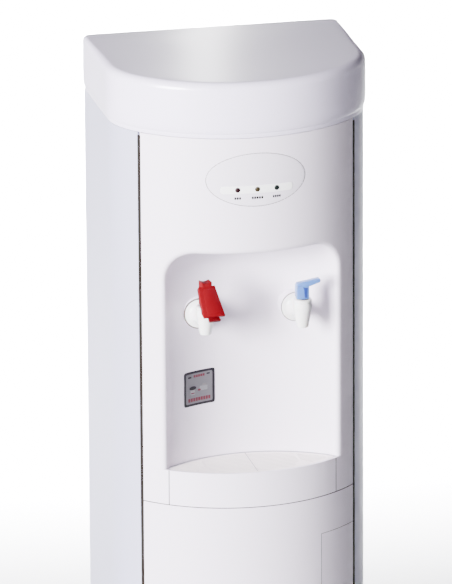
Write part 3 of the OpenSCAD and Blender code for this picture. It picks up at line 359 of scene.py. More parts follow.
# A strip along the round front; first and last are degrees from its middle.
def frontStrip(name, first, last, low, high, steps, outer, inner):
    a = math.radians(first)
    strip = filled(name, [(r * math.sin(a), plan["arcY"] - r * math.cos(a), z)
                          for r, z in ((outer, low), (outer, high), (inner, high), (inner, low))])
    sweepRound((0, plan["arcY"], 0), last - first, steps)
    closedUp()
    return strip


def joined(name, parts):
    deselect()
    for part in parts:
        part.select_set(True)
    bpy.context.view_layer.objects.active = parts[0]
    bpy.ops.object.join()
    parts[0].name = parts[0].data.name = name
    return parts[0]


# Gives the piece its finish and its body; with close, what meets is merged and the faces turn outwards first.
def finished(piece, body, slot, paint=None, hides=(), smooth=35, close=True):
    if close:
        editing(piece)
        closedUp(0.000002)
    take(piece)
    bpy.ops.object.transform_apply(location=True, rotation=True, scale=True)
    bpy.ops.object.shade_smooth_by_angle(angle=math.radians(smooth))
    piece.data.materials.clear()
    piece.data.materials.append(paint or paints[slot])
    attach(piece, body)
    if hides:
        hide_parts(*hides)
    return piece


# Top lid: a skirt with a soft foot, a tall band and a rounded top edge, swept round the cabinet's plan.
lid = {"top": 0.9788, "face": 0.0027, "proud": 0.0029, "proudZ": 0.946, "round": 0.010, "backRound": 0.0052,
       "foot": [(-0.0028, 0.9095), (0.0003, 0.9095), (0.0005, 0.9100), (0.0005, 0.9145)],
       "flare": (0.0023, 0.0135), "flareEnd": 0.928, "backCorner": 0.0088, "loftSteps": 8, "crown": 0.00115,
       "crownCentre": (0, 0.03, 0.98), "rings": (0.9, 0.78, 0.64, 0.5, 0.36, 0.22, 0.08)}


def lidEdge(radius):
    turns = [math.radians(i * 9) for i in range(11)]
    face, top = lid["face"], lid["top"]
    edge = [(face - radius * (1 - math.cos(a)), top - radius * (1 - math.sin(a))) for a in turns]
    return edge + [(face - 0.0005 - radius, top + 0.00002)]


def lidSide(piece, side, first, last, length):  # the top edge's rounding changes on the way along the side
    for step in range(1, lid["loftSteps"] + 1):
        part = step / lid["loftSteps"]
        edge = lidEdge(first + (last - first) * part * part * (3 - 2 * part))
        sweepStraight((0, length / lid["loftSteps"], 0))
        bpy.ops.object.mode_set(mode="OBJECT")
        rim = sorted((v for v in piece.data.vertices if v.select), key=lambda v: v.co.z)[-len(edge):]
        for point, (u, z) in zip(rim, edge):
            point.co.x, point.co.z = side * (plan["halfWidth"] + u), z
        editing(piece)


def topLid():
    wide, tall = lid["flare"]
    turns = [math.radians(i * 90 / 8) for i in range(1, 9)]
    flare = [(lid["foot"][-1][0] + wide * math.sin(a), lid["flareEnd"] - tall * math.cos(a)) for a in turns]
    profile = lid["foot"] + flare + [(lid["proud"], lid["proudZ"])] + lidEdge(lid["round"])
    cx, cy, back = plan["cornerX"], plan["cornerY"], plan["backY"] - lid["backCorner"]
    side = plan["halfWidth"] - lid["backCorner"]
    piece = drawn("topLidCover", [(plan["halfWidth"] + u, cy, z) for u, z in profile])
    sweepRound((cx, cy, 0), -(90 - plan["seamAngle"]), 20)
    sweepRound((0, plan["arcY"], 0), -2 * plan["seamAngle"], 56)
    sweepRound((-cx, cy, 0), -(90 - plan["seamAngle"]), 20)
    lidSide(piece, -1, lid["round"], lid["backRound"], back - cy)
    sweepRound((-side, back, 0), -90, 10)
    sweepStraight((2 * side, 0, 0))
    sweepRound((side, back, 0), -90, 10)
    lidSide(piece, 1, lid["backRound"], lid["round"], cy - back)
    bpy.ops.mesh.select_all(action="SELECT")
    bpy.ops.mesh.remove_doubles(threshold=0.000005)
    bpy.ops.mesh.select_all(action="DESELECT")
    bpy.ops.mesh.select_non_manifold()
    bpy.ops.object.mode_set(mode="OBJECT")
    for point in piece.data.vertices:  # only the upper rim stays selected
        point.select = point.select and point.co.z > 0.95
    for line in piece.data.edges:
        line.select = all(piece.data.vertices[i].select for i in line.vertices)
    editing(piece)
    size = 1.0
    for smaller in lid["rings"]:  # the top rises in rings to a low crown
        sweepStraight((0, 0, lid["crown"] * (size ** 2 - smaller ** 2)))
        share = smaller / size
        bpy.ops.transform.resize(value=(share, share, 1), center_override=lid["crownCentre"])
        size = smaller
    bpy.ops.mesh.edge_face_add()
    bpy.ops.mesh.select_all(action="DESELECT")
    bpy.ops.mesh.select_non_manifold()
    bpy.ops.mesh.fill_holes(sides=0)
    finished(piece, "cabinet", "cover_white", lidWhite, hides=["top_lid"])


lidWhite = finish("lidWhite", (0.84, 0.78, 0.96), 0.30, 0.03, 5, 0.06, 700, 0.02, coat=0.6, coatGloss=0.13)
topLid()
print("top lid made")


def smoothMax(a, b, k):
    near = np.maximum(k - np.abs(a - b), 0) / k
    return np.maximum(a, b) + near * near * k / 4


def outerFace(x, y):
    return np.hypot(x, y - plan["arcY"]) - plan["frontRadius"]


# Less than nothing inside the alcove: an arch seen from the front, a round back wall and a cove above it.
def alcoveRoom(x, y, z):
    sideways = np.abs(x) - alcove["half"] + alcove["corner"]
    upwards = z - alcove["top"] + alcove["corner"]
    arch = (np.hypot(np.maximum(sideways, 0), np.maximum(upwards, 0))
            + np.minimum(np.maximum(sideways, upwards), 0) - alcove["corner"])
    wall = np.hypot(x, y - alcove["centreY"]) - alcove["radius"] + alcove["cove"]
    ceiling = z - alcove["top"] + alcove["cove"]
    cove = (np.hypot(np.maximum(wall, 0), np.maximum(ceiling, 0))
            + np.minimum(np.maximum(wall, ceiling), 0) - alcove["cove"])
    return smoothMax(arch, cove, alcove["blend"])


def panelFace(along, y, turn):
    x, z = along * np.cos(turn), alcove["floor"] + along * np.sin(turn)
    return smoothMax(outerFace(x, y), -alcoveRoom(x, y, z), alcove["lip"])


# Upper front panel: one sheet that runs from the alcove's wall over its soft lip onto the round front.
panel = {"wall": 0.0025, "sections": 240, "toLip": 70, "overLip": 26, "toEdge": 18, "lipReach": 0.011,
         "march": 0.0007, "marches": 1100, "archTurn": 62, "boss": 0.0195, "bossBack": -0.0459,
         "trayEdge": 0.1061}


def upperPanel():
    edge = plan["frontRadius"] * math.sin(math.radians(plan["seamAngle"] - plan["seamHalf"]))
    rise = plan["panelTop"] - alcove["floor"]
    corner = math.atan2(rise, edge)
    # more sections where the arch turns
    third = panel["sections"] // 3
    near = math.radians(panel["archTurn"])
    turns = np.concatenate([np.linspace(0, near, third, endpoint=False),
                            np.linspace(near, math.radians(180 - panel["archTurn"]), third, endpoint=False),
                            np.linspace(math.radians(180 - panel["archTurn"]), math.pi, third)])
    for exact in (corner, math.pi - corner):
        turns[np.argmin(np.abs(turns - exact))] = exact
    along, y = np.full(len(turns), 1e-6), np.full(len(turns), alcove["centreY"] + alcove["radius"])
    heading = np.stack([np.ones(len(turns)), np.zeros(len(turns))])
    trail, tiny = [], 1e-6
    for step in range(panel["marches"]):
        for repeat in range(3):
            here = panelFace(along, y, turns)
            slope = np.stack([(panelFace(along + tiny, y, turns) - here) / tiny,
                              (panelFace(along, y + tiny, turns) - here) / tiny])
            size = np.maximum((slope ** 2).sum(0), 0.05)
            if step or repeat:
                along = along - here * slope[0] / size
            y = y - here * slope[1] / size
        trail.append(np.stack([along, y]))
        ahead = np.stack([-slope[1], slope[0]]) / np.hypot(slope[0], slope[1])
        ahead = ahead * np.sign((ahead * heading).sum(0))
        heading = ahead
        along, y = along + ahead[0] * panel["march"], y + ahead[1] * panel["march"]
    trail = np.array(trail)
    rows = []
    for i, turn in enumerate(turns):
        line = trail[:, :, i]
        line[0, 0] = 0
        spread = np.maximum(np.abs(line[:, 0] * math.cos(turn)) / edge, line[:, 0] * math.sin(turn) / rise)
        last = int(np.argmax(spread > 1))
        share = (1 - spread[last - 1]) / (spread[last] - spread[last - 1])
        line = np.vstack([line[:last], line[last - 1] + share * (line[last] - line[last - 1])])
        far = np.concatenate([[0], np.cumsum(np.hypot(*np.diff(line, axis=0).T))])
        x, z = line[:, 0] * math.cos(turn), alcove["floor"] + line[:, 0] * math.sin(turn)
        lip = far[int(np.argmin(np.abs(outerFace(x, line[:, 1]) + alcoveRoom(x, line[:, 1], z))))]
        before, after = lip - panel["lipReach"], min(lip + panel["lipReach"], far[-1] - 0.004)
        places = np.concatenate([np.linspace(0, before, panel["toLip"], endpoint=False),
                                 np.linspace(before, after, panel["overLip"], endpoint=False),
                                 np.linspace(after, far[-1], panel["toEdge"])])
        out, deep = np.interp(places, far, line[:, 0]), np.interp(places, far, line[:, 1])
        rows.append(np.stack([out * math.cos(turn), deep, alcove["floor"] + out * math.sin(turn)], axis=1))
    rows = np.array(rows)
    many, count = len(turns), rows.shape[1]
    faces = [(i * count + j, i * count + j + 1, (i + 1) * count + j + 1, (i + 1) * count + j)
             for i in range(many - 1) for j in range(count - 1)]
    mesh = bpy.data.meshes.new("upperFrontCover")
    mesh.from_pydata(rows.reshape(-1, 3).tolist(), [], faces)
    piece = bpy.data.objects.new("upperFrontCover", mesh)
    bpy.context.collection.objects.link(piece)
    editing(piece)
    bpy.ops.mesh.select_all(action="SELECT")
    bpy.ops.mesh.remove_doubles(threshold=0.000005)
    bpy.ops.object.mode_set(mode="OBJECT")
    if sum(face.normal.y for face in mesh.polygons) > 0:  # its faces look into the cabinet
        editing(piece)
        bpy.ops.mesh.select_all(action="SELECT")
        bpy.ops.mesh.flip_normals()
        bpy.ops.object.mode_set(mode="OBJECT")
    shell = piece.modifiers.new("wall", "SOLIDIFY")
    shell.thickness = panel["wall"]
    shell.offset = -1
    take(piece)
    bpy.ops.object.modifier_apply(modifier="wall")
    parts = [piece]
    outer, inner = plan["frontRadius"], plan["frontRadius"] - panel["wall"]
    first, last = fromMiddle(panel["trayEdge"]), plan["seamAngle"] - plan["seamHalf"]
    for side in (-1, 1):
        # the posts beside the drip tray
        parts.append(frontStrip("trayPost", side * first, side * last, plan["split"] + 0.0003,
                                alcove["floor"] - 0.0001, 8, outer, inner))
        # the boss behind each tap
        flat, r = taps["flangeY"] + 0.0001, panel["boss"]
        line = [(0.0001, flat), (r - 0.0010, flat), (r - 0.0003, flat + 0.0003), (r, flat + 0.0010),
                (r, panel["bossBack"])]
        x, z = side * taps["x"], taps["z"]
        line = [(x + a, b, z) for a, b in line]
        parts.append(spunRound("tapBoss", line, (x, 0, z), (0, 1, 0), 72, 0.00015))
    joined("upperFrontCover", parts)
    finished(piece, "cabinet", "cover_white", hides=["upper_front_panel"], smooth=40, close=False)
    print("upper panel faces:", len(piece.data.polygons))


upperPanel()
print("upper front panel made")


# A plate with a fine net of faces, bent onto the round front or the alcove's wall.
def netPlate(name, width, height, across=48, upwards=24, thick=0.0004, shape="oval", corner=0.002):
    deselect()
    bpy.ops.mesh.primitive_grid_add(x_subdivisions=across, y_subdivisions=upwards, size=2)
    piece = bpy.context.object
    piece.name = piece.data.name = name
    for point in piece.data.vertices:
        x, z = point.co.x, point.co.y
        if shape == "oval":
            u, v = x * math.sqrt(1 - z * z / 2) * width / 2, z * math.sqrt(1 - x * x / 2) * height / 2
        else:
            u, v = x * width / 2, z * height / 2
            du, dv = abs(u) - (width / 2 - corner), abs(v) - (height / 2 - corner)
            if du > 0 and dv > 0:
                reach = max(du, dv) / math.hypot(du, dv)
                u = math.copysign(width / 2 - corner + du * reach, u)
                v = math.copysign(height / 2 - corner + dv * reach, v)
        point.co = (u, 0, v)
    shell = piece.modifiers.new("sheet", "SOLIDIFY")
    shell.thickness, shell.offset = thick, 0
    edge = piece.modifiers.new("edge", "BEVEL")
    edge.width, edge.segments, edge.limit_method, edge.angle_limit = thick * 0.3, 2, "ANGLE", math.radians(50)
    take(piece)
    bpy.ops.object.modifier_apply(modifier="sheet")
    bpy.ops.object.modifier_apply(modifier="edge")
    return piece


# Lays a plate made round the origin on the front; out is how far its middle stands off.
def layOnFront(piece, x, z, out, swell=0.0, width=1.0, height=1.0):
    for point in piece.data.vertices:
        u, off, v = point.co
        dome = swell * max(0, 1 - (2 * u / width) ** 2 - (2 * v / height) ** 2)
        r = plan["frontRadius"] + out - off + dome
        point.co = (x + u, plan["arcY"] - math.sqrt(r * r - (x + u) ** 2), z + v)


def layInAlcove(piece, x, z, out):
    for point in piece.data.vertices:
        u, off, v = point.co
        r = alcove["radius"] - out + off
        point.co = (x + u, alcove["centreY"] + math.sqrt(r * r - (x + u) ** 2), z + v)


# Indicator: an oval plate in a thin grey outline, a strip lightened by a painted glow, three lenses and their
# printed marks.
indicator = {"z": 0.856, "width": 0.125, "height": 0.068, "outline": 0.0009, "stripZ": 0.844,
             "strip": (0.0902, 0.0095), "pitch": 0.0244, "lens": 0.0031, "swell": 0.0012, "rim": 0.0034,
             "markZ": 0.8334, "markHeight": 0.0035, "markGap": 0.00028,
             "marks": ((-1, 0.0026, 3), (0, 0.0027, 5), (1, 0.0024, 4)),
             "lenses": ((0.012, 0.0008, 0.003), (0.028, 0.020, 0.008), (0.005, 0.009, 0.008))}

outlineGrey = finish("outlineGrey", (0.16, 0.145, 0.155), 0.5, 0.1, 90, 0.08, 1400, 0.1)
# painted glow: the strip gives off a little light of its own, with no lamp behind it
stripPaintedGlow = finish("stripPaintedGlow", (0.95, 0.95, 0.95), 0.2, 0.03, 40, 0.05, 1200, 0.02, coat=0.5, glow=0.22)
markInk = finish("markInk", (0.006, 0.005, 0.006), 0.5, 0.35, 500, 0.1, 2500, 0.1)


def indicatorPieces():
    wide, tall, border = indicator["width"], indicator["height"], 2 * indicator["outline"]
    edge = netPlate("indicatorOutline", wide, tall, 64, 40, 0.0006)
    layOnFront(edge, 0, indicator["z"], -0.0003)
    finished(edge, "cabinet", "panel_white", outlineGrey)
    face = netPlate("indicatorFace", wide - border, tall - border, 64, 40, 0.0008)
    layOnFront(face, 0, indicator["z"], -0.00035, 0.0002, wide, tall)
    finished(face, "cabinet", "panel_white", hides=["indicator_panel"])
    strip = netPlate("indicatorStrip", *indicator["strip"], 60, 12, 0.0006, "round", 0.0035)
    layOnFront(strip, 0, indicator["stripZ"], 0.00012)
    finished(strip, "cabinet", "window_clear", stripPaintedGlow, hides=["indicator_window"])
    front, height = plan["arcY"] - plan["frontRadius"], indicator["stripZ"]
    rim, glass = indicator["rim"], indicator["lens"]
    line = [(rim, front + 0.0012), (rim, front - 0.0002), (rim - 0.0003, front - 0.0006),
            (glass + 0.0001, front - 0.0006), (glass, front - 0.0003)]
    for k in range(1, 8):
        turn = math.radians(k * 90 / 7)
        out = 0.0003 + indicator["swell"] * math.sin(turn)
        line.append((max(glass * math.cos(turn), 0.00001), front - out))
    line = [(a, b, height) for a, b in line]
    for i, colour in zip((-1, 0, 1), indicator["lenses"]):
        lens = finish("lensGlass" + str(i + 2), colour, 0.35, 0.3, 700, 0.04, 1800, 0.02, shine=0.25)
        dome = spunRound("lamp" + str(i + 2), line, (0, 0, height), (0, 1, 0), 40, 0.00002)
        turn = math.asin(i * indicator["pitch"] / plan["frontRadius"])
        dome.data.transform(Matrix.Translation((0, plan["arcY"], 0)) @ Matrix.Rotation(turn, 4, "Z")
                            @ Matrix.Translation((0, -plan["arcY"], 0)))
        finished(dome, "cabinet", "lamp_red", lens, hides=["indicator_lamps"] if i == 0 else ())
    for i, wide, many in indicator["marks"]:
        for k in range(many):
            mark = netPlate("mark", wide, indicator["markHeight"], 4, 3, 0.00016)
            shift = (k - (many - 1) / 2) * (wide + indicator["markGap"])
            layOnFront(mark, i * indicator["pitch"] + shift, indicator["markZ"], 0.00018)
            mark.name = mark.data.name = "legendMark" + str(i + 2) + "_" + str(k + 1)
            finished(mark, "cabinet", "panel_white", markInk)


indicatorPieces()
print("indicator made")

labelDark = finish("labelDark", (0.010, 0.008, 0.012), 0.4, 0.2, 200, 0.1, 1800, 0.1)
labelRed = finish("labelRed", (0.11, 0.018, 0.030), 0.45, 0.45, 420, 0.1, 1800, 0.1)
labelWhite = finish("labelWhite", (0.20, 0.20, 0.215), 0.4, 0.08, 200, 0.05, 1800, 0.05)

# Label in the alcove: a grey field in a dark rounded frame with plain bars and two simple pictures, no words.
# A row is its count, first x, pitch, z, width and height; a mark its x, z, width, height, lift, paint, form.
label = {"x": -0.0594, "z": 0.5728, "width": 0.0425, "height": 0.0450, "frame": 0.0031, "out": 0.00045,
         "topRow": (5, -0.0062, 0.0031, 0.0156, 0.0026, 0.0032),
         "lowRow": (9, -0.0138, 0.00345, -0.0146, 0.0028, 0.0046),
         "dots": {"labelTopDot1": (-0.0130, 0.0150, 0.0046, 0.0020, 0, labelDark),
                  "labelTopDot2": (0.0124, 0.0163, 0.0044, 0.0020, 0, labelDark)},
         "pictures": {"labelCup": (-0.0088, -0.0046, 0.0062, 0.0072, 0, labelWhite, "round", 0.0012),
                      "labelCupRim": (-0.0088, 0.0006, 0.0096, 0.0050, 0.00006, labelDark, "oval"),
                      "labelCupBand": (-0.0088, -0.0060, 0.0050, 0.0014, 0.00006, labelRed),
                      "labelTap": (0.0062, -0.0012, 0.0110, 0.0058, 0, labelWhite, "round", 0.0016),
                      "labelTapNose": (0.0002, -0.0030, 0.0042, 0.0028, 0.00006, labelRed, "oval"),
                      "labelTapTop": (0.0074, 0.0030, 0.0054, 0.0020, 0.00006, outlineGrey)}}


def onLabel(name, u, v, width, height, lift, paint, shape="round", corner=0.0004, net=(8, 6), hides=()):
    plate = netPlate(name, width, height, *net, 0.00014, shape, corner)
    layInAlcove(plate, label["x"] + u, label["z"] + v, label["out"] + lift)
    finished(plate, "cabinet", "label_grey", paint, hides=hides)


def labelRow(name, count, first, pitch, v, width, height):
    for k in range(count):
        onLabel(name + str(k), first + k * pitch, v, width, height, 0, labelRed)


def labelPieces():
    wide, tall, border = label["width"], label["height"], 2 * label["frame"]
    onLabel("labelFrame", 0, 0, wide, tall, -0.00020, labelDark, "round", 0.0030, (36, 36), ["label_plate"])
    onLabel("labelField", 0, 0, wide - border, tall - border, -0.00010, paints["label_grey"], "round", 0.0015,
            (24, 24))
    labelRow("labelTopBar", *label["topRow"])
    for name, mark in label["dots"].items():
        onLabel(name, *mark)
    labelRow("labelLowBar", *label["lowRow"])
    for name, mark in label["pictures"].items():
        onLabel(name, *mark)


labelPieces()
print("label made")


# Tap bodies: spun barrel with its collar grooves, spout, shank cone and rounded flange.
tap = {"flange": 0.018, "gasket": {"hot": 0.0016, "cold": 0.0008}, "thin": 0.00001,
       "barrel": [(0.0040, -0.0130), (0.0042, -0.0148), (0.0046, -0.0150), (0.0068, -0.0150),
                  (0.0072, -0.0146), (0.0074, -0.0135), (0.0111, 0.0068), (0.0113, 0.0080), (0.0113, 0.0082),
                  (0.0110, 0.0086), (0.0110, 0.0089), (0.0113, 0.0093), (0.0113, 0.0163), (0.0112, 0.0167),
                  (0.0108, 0.01695)],
       "barrelEnds": (-0.0130, 0.0170),
       "bonnet": [(0.0108, 0.01708), (0.0112, 0.0174), (0.0113, 0.0178), (0.0113, 0.0200), (0.0111, 0.0206),
                  (0.0106, 0.02095)],
       "bonnetEnds": (0.01708, 0.0210)}


def tapBody(side, word):
    x, y, z = side * taps["x"], taps["y"], taps["z"]
    thin = tap["thin"]

    def upright(name, part):  # a profile of radii and heights, closed at the axis
        low, high = tap[part + "Ends"]
        line = [(thin, low)] + tap[part] + [(thin, high)]
        return spunRound(name, [(x + r, y, z + h) for r, h in line], (x, y, 0), (0, 0, 1))

    def level(name, line):  # a profile of radii and depths from the barrel's axis
        return spunRound(name, [(x + r, y + h, z) for r, h in line], (x, 0, z), (0, 1, 0))

    barrel = upright("barrel", "barrel")
    bonnet = upright(word + "TapBonnet", "bonnet")
    wall = taps["flangeY"] - y  # from the barrel's axis to the boss
    flat = tap["flange"]
    line = [(thin, 0.0040), (0.0082, 0.0040), (0.0088, 0.0150), (0.0096, 0.0230), (0.0112, wall - 0.0056),
            (0.0128, wall - 0.0040), (0.0146, wall - 0.00325), (flat - 0.0012, wall - 0.00305),
            (flat - 0.0004, wall - 0.0027), (flat, wall - 0.0019), (flat, wall - 0.0006),
            (flat - 0.0003, wall - 0.0002), (flat - 0.0008, wall - 0.00006), (thin, wall - 0.00006)]
    shell = joined(word + "TapShell", [barrel, level("shank", line)])
    finished(shell, "cabinet", "tap_white", hides=[word + "_tap_body"], close=False)
    # painted shade: a dark ring round each flange's edge stands for the shade there; it is wider at the hot
    # tap, where more of it shows
    out = flat + tap["gasket"][word]
    line = [(flat + 0.0002, wall - 0.0017), (out - 0.0002, wall - 0.0016), (out, wall - 0.0012),
            (out, wall - 0.0004), (flat + 0.0002, wall - 0.0001)]
    gasket = level(word + "TapGasket", line)
    finished(gasket, "cabinet", "seal_silicone", gasketPaintedShade, close=False)
    finished(bonnet, "cabinet", "tap_white", hides=[word + "_bonnet"], close=False)


gasketPaintedShade = finish("gasketPaintedShade", (0.105, 0.082, 0.072), 0.6, 0.1, 90, 0.1, 1500, 0.1)
tapBody(-1, "hot")
tapBody(1, "cold")
print("tap bodies made")


# A prism drawn as a flat outline, given its depth and then soft edges.
def prism(name, outline, depth, soft, segments=3):
    piece = filled(name, outline)
    sweepStraight(depth)
    closedUp()
    soften(piece, soft, segments)
    return piece


def soften(piece, soft, segments=3):
    edge = piece.modifiers.new("softEdge", "BEVEL")
    edge.width, edge.segments, edge.limit_method, edge.angle_limit = soft, segments, "ANGLE", math.radians(28)
    take(piece)
    bpy.ops.object.modifier_apply(modifier="softEdge")


# A slab between two x values; low and high are its y values at the first x and at the second.
def slab(name, first, last, low, high, z, depth, soft):
    outline = [(first, low[0], z), (last, low[1], z), (last, high[1], z), (first, high[0], z)]
    return prism(name, outline, (0, 0, depth), soft)


# Hot lever: a saddle-topped block, a sloping paddle with a raised middle and side facets, and the catch's
# tab below.
hotLever = {"half": 0.0065, "foot": 0.69432, "saddle": 0.7248, "slope": 46.5, "length": 0.039,
            "pinZ": 0.70402, "topHalf": 0.0107, "lowHalf": 0.014, "thick": 0.0072, "cutBack": 0.008,
            "tabHalf": 0.0074, "tabOut": 0.005, "dip": 0.0019, "rootX": -0.003, "paddleOut": (-0.007, 0.0134)}


def hotLeverPieces():
    half, foot, top = hotLever["half"], hotLever["foot"], hotLever["saddle"]
    outline = [(-half, half, foot), (half, half, foot), (half, half, top)]
    for k in range(1, 6):
        turn = math.pi * k / 6
        outline.append((half * (1 - k / 3), half, top - hotLever["dip"] * math.sin(turn)))
    outline.append((-half, half, top))
    block = prism("block", outline, (0, -2 * half, 0), 0.0006)
    length, narrow, wide, thick = (hotLever[k] for k in ("length", "topHalf", "lowHalf", "thick"))
    root, cut = hotLever["rootX"], hotLever["cutBack"]  # the flanges run out before the lower corners
    plate = slab("plate", root, length, (-narrow, -wide), (narrow, wide), 0, -0.0030, 0.0006)
    raised = slab("raised", 0.0015, length - 0.003, (0.0052 - narrow, 0.0056 - wide),
                  (narrow - 0.0030, wide - 0.0034), -0.001, 0.0014, 0.0005)
    near = wide - (wide - narrow) * cut / (length - root)
    sides = [prism("flange", [(root, s * narrow, -0.0006), (length - 0.0006, s * wide, -0.0006),
                              (length - 0.0006, s * wide, -0.0024), (length - cut, s * near, -thick),
                              (root, s * narrow, -thick)], (0, -s * 0.0016, 0), 0.0005) for s in (-1, 1)]
    out, up = hotLever["paddleOut"]
    turned = Matrix.Rotation(math.radians(taps["turn"]), 4, "Z")
    turned = Matrix.Translation((-taps["x"], taps["y"], 0)) @ turned
    place = (Matrix.Translation((0, out, hotLever["pinZ"] + up)) @ Matrix.Rotation(math.radians(-90), 4, "Z")
             @ Matrix.Rotation(math.radians(hotLever["slope"]), 4, "Y"))
    paddle = joined("paddle", [plate, raised] + sides)
    paddle.data.transform(place)
    lever = joined("hotPressLever", [block, paddle])
    lever.data.transform(turned)
    finished(lever, "hot_handle", "lever_red", hides=["hot_lever"], close=False)
    tab, end = hotLever["tabHalf"], length + hotLever["tabOut"]
    slide = slab("slide", 0.014, end, (-tab, -tab), (tab, tab), -0.0053, 0.0020, 0.0004)
    lip = slab("lip", length + 0.0034, end, (-tab, -tab), (tab, tab), -0.0052, 0.0044, 0.0005)
    catch = joined("hotCatchTab", [slide, lip])
    catch.data.transform(turned @ place)
    finished(catch, "hot_catch", "lever_red", catchRed, hides=["hot_safety_catch"], close=False)


catchRed = finish("catchRed", (0.10, 0.0004, 0.0030), 0.5, 0.1, 60, 0.08, 1200, 0.06, shine=0.15)
hotLeverPieces()
print("hot lever made")

# Cold lever: a pale block and a thin flag that rises to the right.
coldLever = {"left": -0.0082, "right": 0.0070, "half": 0.0070, "foot": 0.69432, "top": 0.7112,
             "flagEnd": 0.0220, "flagHalf": 0.0048}


def coldLeverPieces():
    half, foot, top = coldLever["half"], coldLever["foot"], coldLever["top"]
    left, right = coldLever["left"], coldLever["right"]
    outline = [(left, half, foot), (right, half, foot), (right, half, top - 0.0006), (left, half, top)]
    block = prism("block", outline, (0, -2 * half, 0), 0.0008)
    deep, end = coldLever["flagHalf"], coldLever["flagEnd"]
    line = [(left + 0.0002, -0.0016), (left + 0.0006, 0.0024), (0, 0.0038), (end - 0.0018, 0.0073),
            (end - 0.0003, 0.0066), (end, 0.0046), (end - 0.0010, 0.0024), (right + 0.0012, -0.0018)]
    flag = prism("flag", [(x, deep, top + z) for x, z in line], (0, -2 * deep, 0), 0.0010)
    lever = joined("coldPressLever", [block, flag])
    place = Matrix.Translation((taps["x"], taps["y"], 0))
    lever.data.transform(place)
    finished(lever, "cold_handle", "lever_blue", hides=["cold_lever"], close=False)
    # painted shade: a dark blue patch on the block's front stands for the darker blue shading of the
    # translucent block
    line = [(0.0012, foot + 0.0016), (0.0048, foot + 0.0012), (0.0052, top - 0.0026), (-0.0012, top - 0.0012),
            (0.0004, top - 0.0050)]
    shadePatch = prism("coldLeverShadePatch", [(x, -half - 0.00008, z) for x, z in line], (0, 0.0008, 0), 0.0003)
    shadePatch.data.transform(place)
    finished(shadePatch, "cold_handle", "lever_blue", leverShadeBlue, close=False)


leverShadeBlue = finish("leverShadeBlue", (0.012, 0.035, 0.20), 0.3, 0.3, 400, 0.08, 1200, 0.04, coat=0.3)
coldLeverPieces()
print("cold lever made")


# Thin dark gaskets that show in the joints between the covers.
joint = {"outer": 0.18304, "inner": 0.1800, "half": 0.00055, "upright": 0.17, "trayHalf": 0.1058,
         "seamOuter": 0.1832, "seamFirst": 46.61, "seamLast": 47.99, "seamLow": 0.0150, "seamHigh": 0.9050,
         "hatchHalf": 0.0003, "hatchTurn": 0.11}
hatch = {"x": 0.0840, "low": 0.1199, "high": 0.3860}
hatchGrey = finish("hatchGrey", (0.10, 0.085, 0.085), 0.6, 0.1, 90, 0.1, 1200, 0.1)


def jointStrips():
    outer, inner, half, split = joint["outer"], joint["inner"], joint["half"], plan["split"]
    edge = plan["seamAngle"] - plan["seamHalf"]
    across = frontStrip("coverJoint", 0.05 - edge, edge - 0.05, split - half, split + half, 60, outer, inner)
    finished(across, "cabinet", "seam_brown", close=False)
    middle, turn = fromMiddle(joint["trayHalf"]), joint["upright"]
    for side, word in ((-1, "Left"), (1, "Right")):
        upright = frontStrip("trayJoint" + word, side * middle - turn, side * middle + turn,
                             split + 0.0004, alcove["floor"] - 0.0006, 2, outer, inner)
        finished(upright, "cabinet", "seam_brown", hatchGrey if side > 0 else None, close=False)
        seam = frontStrip("seamTrim" + word, side * joint["seamFirst"], side * joint["seamLast"],
                          joint["seamLow"], joint["seamHigh"], 3, joint["seamOuter"], inner)
        finished(seam, "cabinet", "seam_brown", hides=["seam_trims"] if side > 0 else (), close=False)
    near, far, half, turn = fromMiddle(hatch["x"]), edge - 0.1, joint["hatchHalf"], joint["hatchTurn"]
    lines = ((near - turn, near + turn, hatch["low"], hatch["high"], 2),
             (near, far, hatch["high"] - half, hatch["high"] + half, 16),
             (near, far, hatch["low"] - half, hatch["low"] + half, 16))
    for k, line in enumerate(lines):
        strip = frontStrip("hatchJoint" + str(k + 1), *line, outer, inner)
        finished(strip, "cabinet", "seam_brown", hatchGrey, close=False)


jointStrips()
print("joints made")
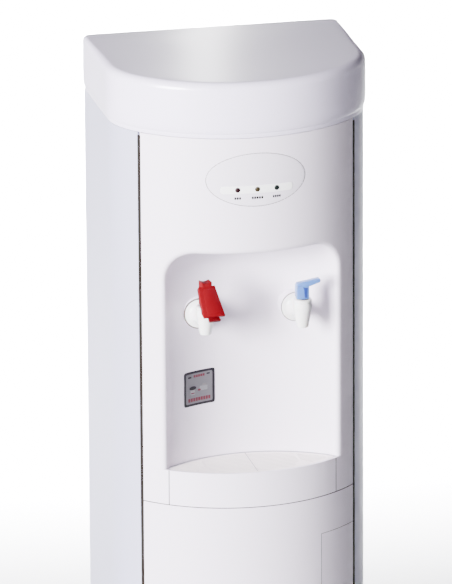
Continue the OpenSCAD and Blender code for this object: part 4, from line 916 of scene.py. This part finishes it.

# The grille keeps its CAD shape; painted shade darkens its slots below the top face and the drip tray's
# inside, and a thin line divides it in the middle.
# The shade entries are painted shade: the slots darken below the top face, the tray's inside inward of its
# front.
grille = {"top": 0.4798, "paintedShadeDepth": 0.0014, "shade": 0.35, "lineHalf": 0.0006, "front": -0.1195,
          "back": -0.0470, "trayPaintedShade": 0.55, "trayInner": 0.1797, "trayOuter": 0.1802}
lineGrey = finish("lineGrey", (0.40, 0.36, 0.37), 0.5, 0.1, 90, 0.1, 1200, 0.1)


# Base colour times a painted shade that runs out between two heights, or between two distances from the
# front's axis.
def paintedShadeBy(paint, low, high, shade, fromAxis):
    tree = paint.node_tree
    made, wire = tree.nodes.new, tree.links.new
    effect = next(node for node in tree.nodes if node.type == "GROUP")
    place, tone = made("ShaderNodeTexCoord"), made("ShaderNodeVectorMath")
    tone.operation = "SCALE"
    fade = fadeNode(tree, low, high, shade, 1.0)
    if fromAxis:
        flat, gap = made("ShaderNodeVectorMath"), made("ShaderNodeVectorMath")
        flat.operation, gap.operation = "MULTIPLY", "DISTANCE"
        flat.inputs[1].default_value, gap.inputs[1].default_value = (1, 1, 0), (0, plan["arcY"], 0)
        wire(place.outputs["Object"], flat.inputs[0])
        wire(flat.outputs[0], gap.inputs[0])
        wire(gap.outputs["Value"], fade.inputs["Value"])
    else:
        parts = made("ShaderNodeSeparateXYZ")
        wire(place.outputs["Object"], parts.inputs[0])
        wire(parts.outputs["Z"], fade.inputs["Value"])
    wire(effect.outputs["Colour"], tone.inputs[0])
    wire(fade.outputs["Result"], tone.inputs["Scale"])
    wire(tone.outputs[0], tree.nodes["Principled BSDF"].inputs["Base Color"])


def grilleDetail():
    half, top = grille["lineHalf"], grille["top"]
    # painted shade in the slots: faces below the grille's top face are darker
    paintedShadeBy(paints["grille_white"], top - grille["paintedShadeDepth"], top - 0.0001, grille["shade"], False)
    tray = nodes["drip_tray"].data
    # The drip tray gets its own copy of its paint with painted shade inside it: faces nearer the front's axis
    # than the tray's front are darker.
    trayPaint = tray.materials[0].copy()
    trayPaint.name = "trayWhitePaintedShade"
    tray.materials[0] = trayPaint
    paintedShadeBy(trayPaint, grille["trayInner"], grille["trayOuter"], grille["trayPaintedShade"], True)
    low, high, front = top - 0.0012, top + 0.00004, grille["front"]
    outline = [(-half, front, low), (half, front, low), (half, front, high), (-half, front, high)]
    line = prism("grilleMiddleLine", outline, (0, grille["back"] - front, 0), 0.00002, 1)
    finished(line, "grille", "grille_white", lineGrey, close=False)


grilleDetail()
print("grille finished")
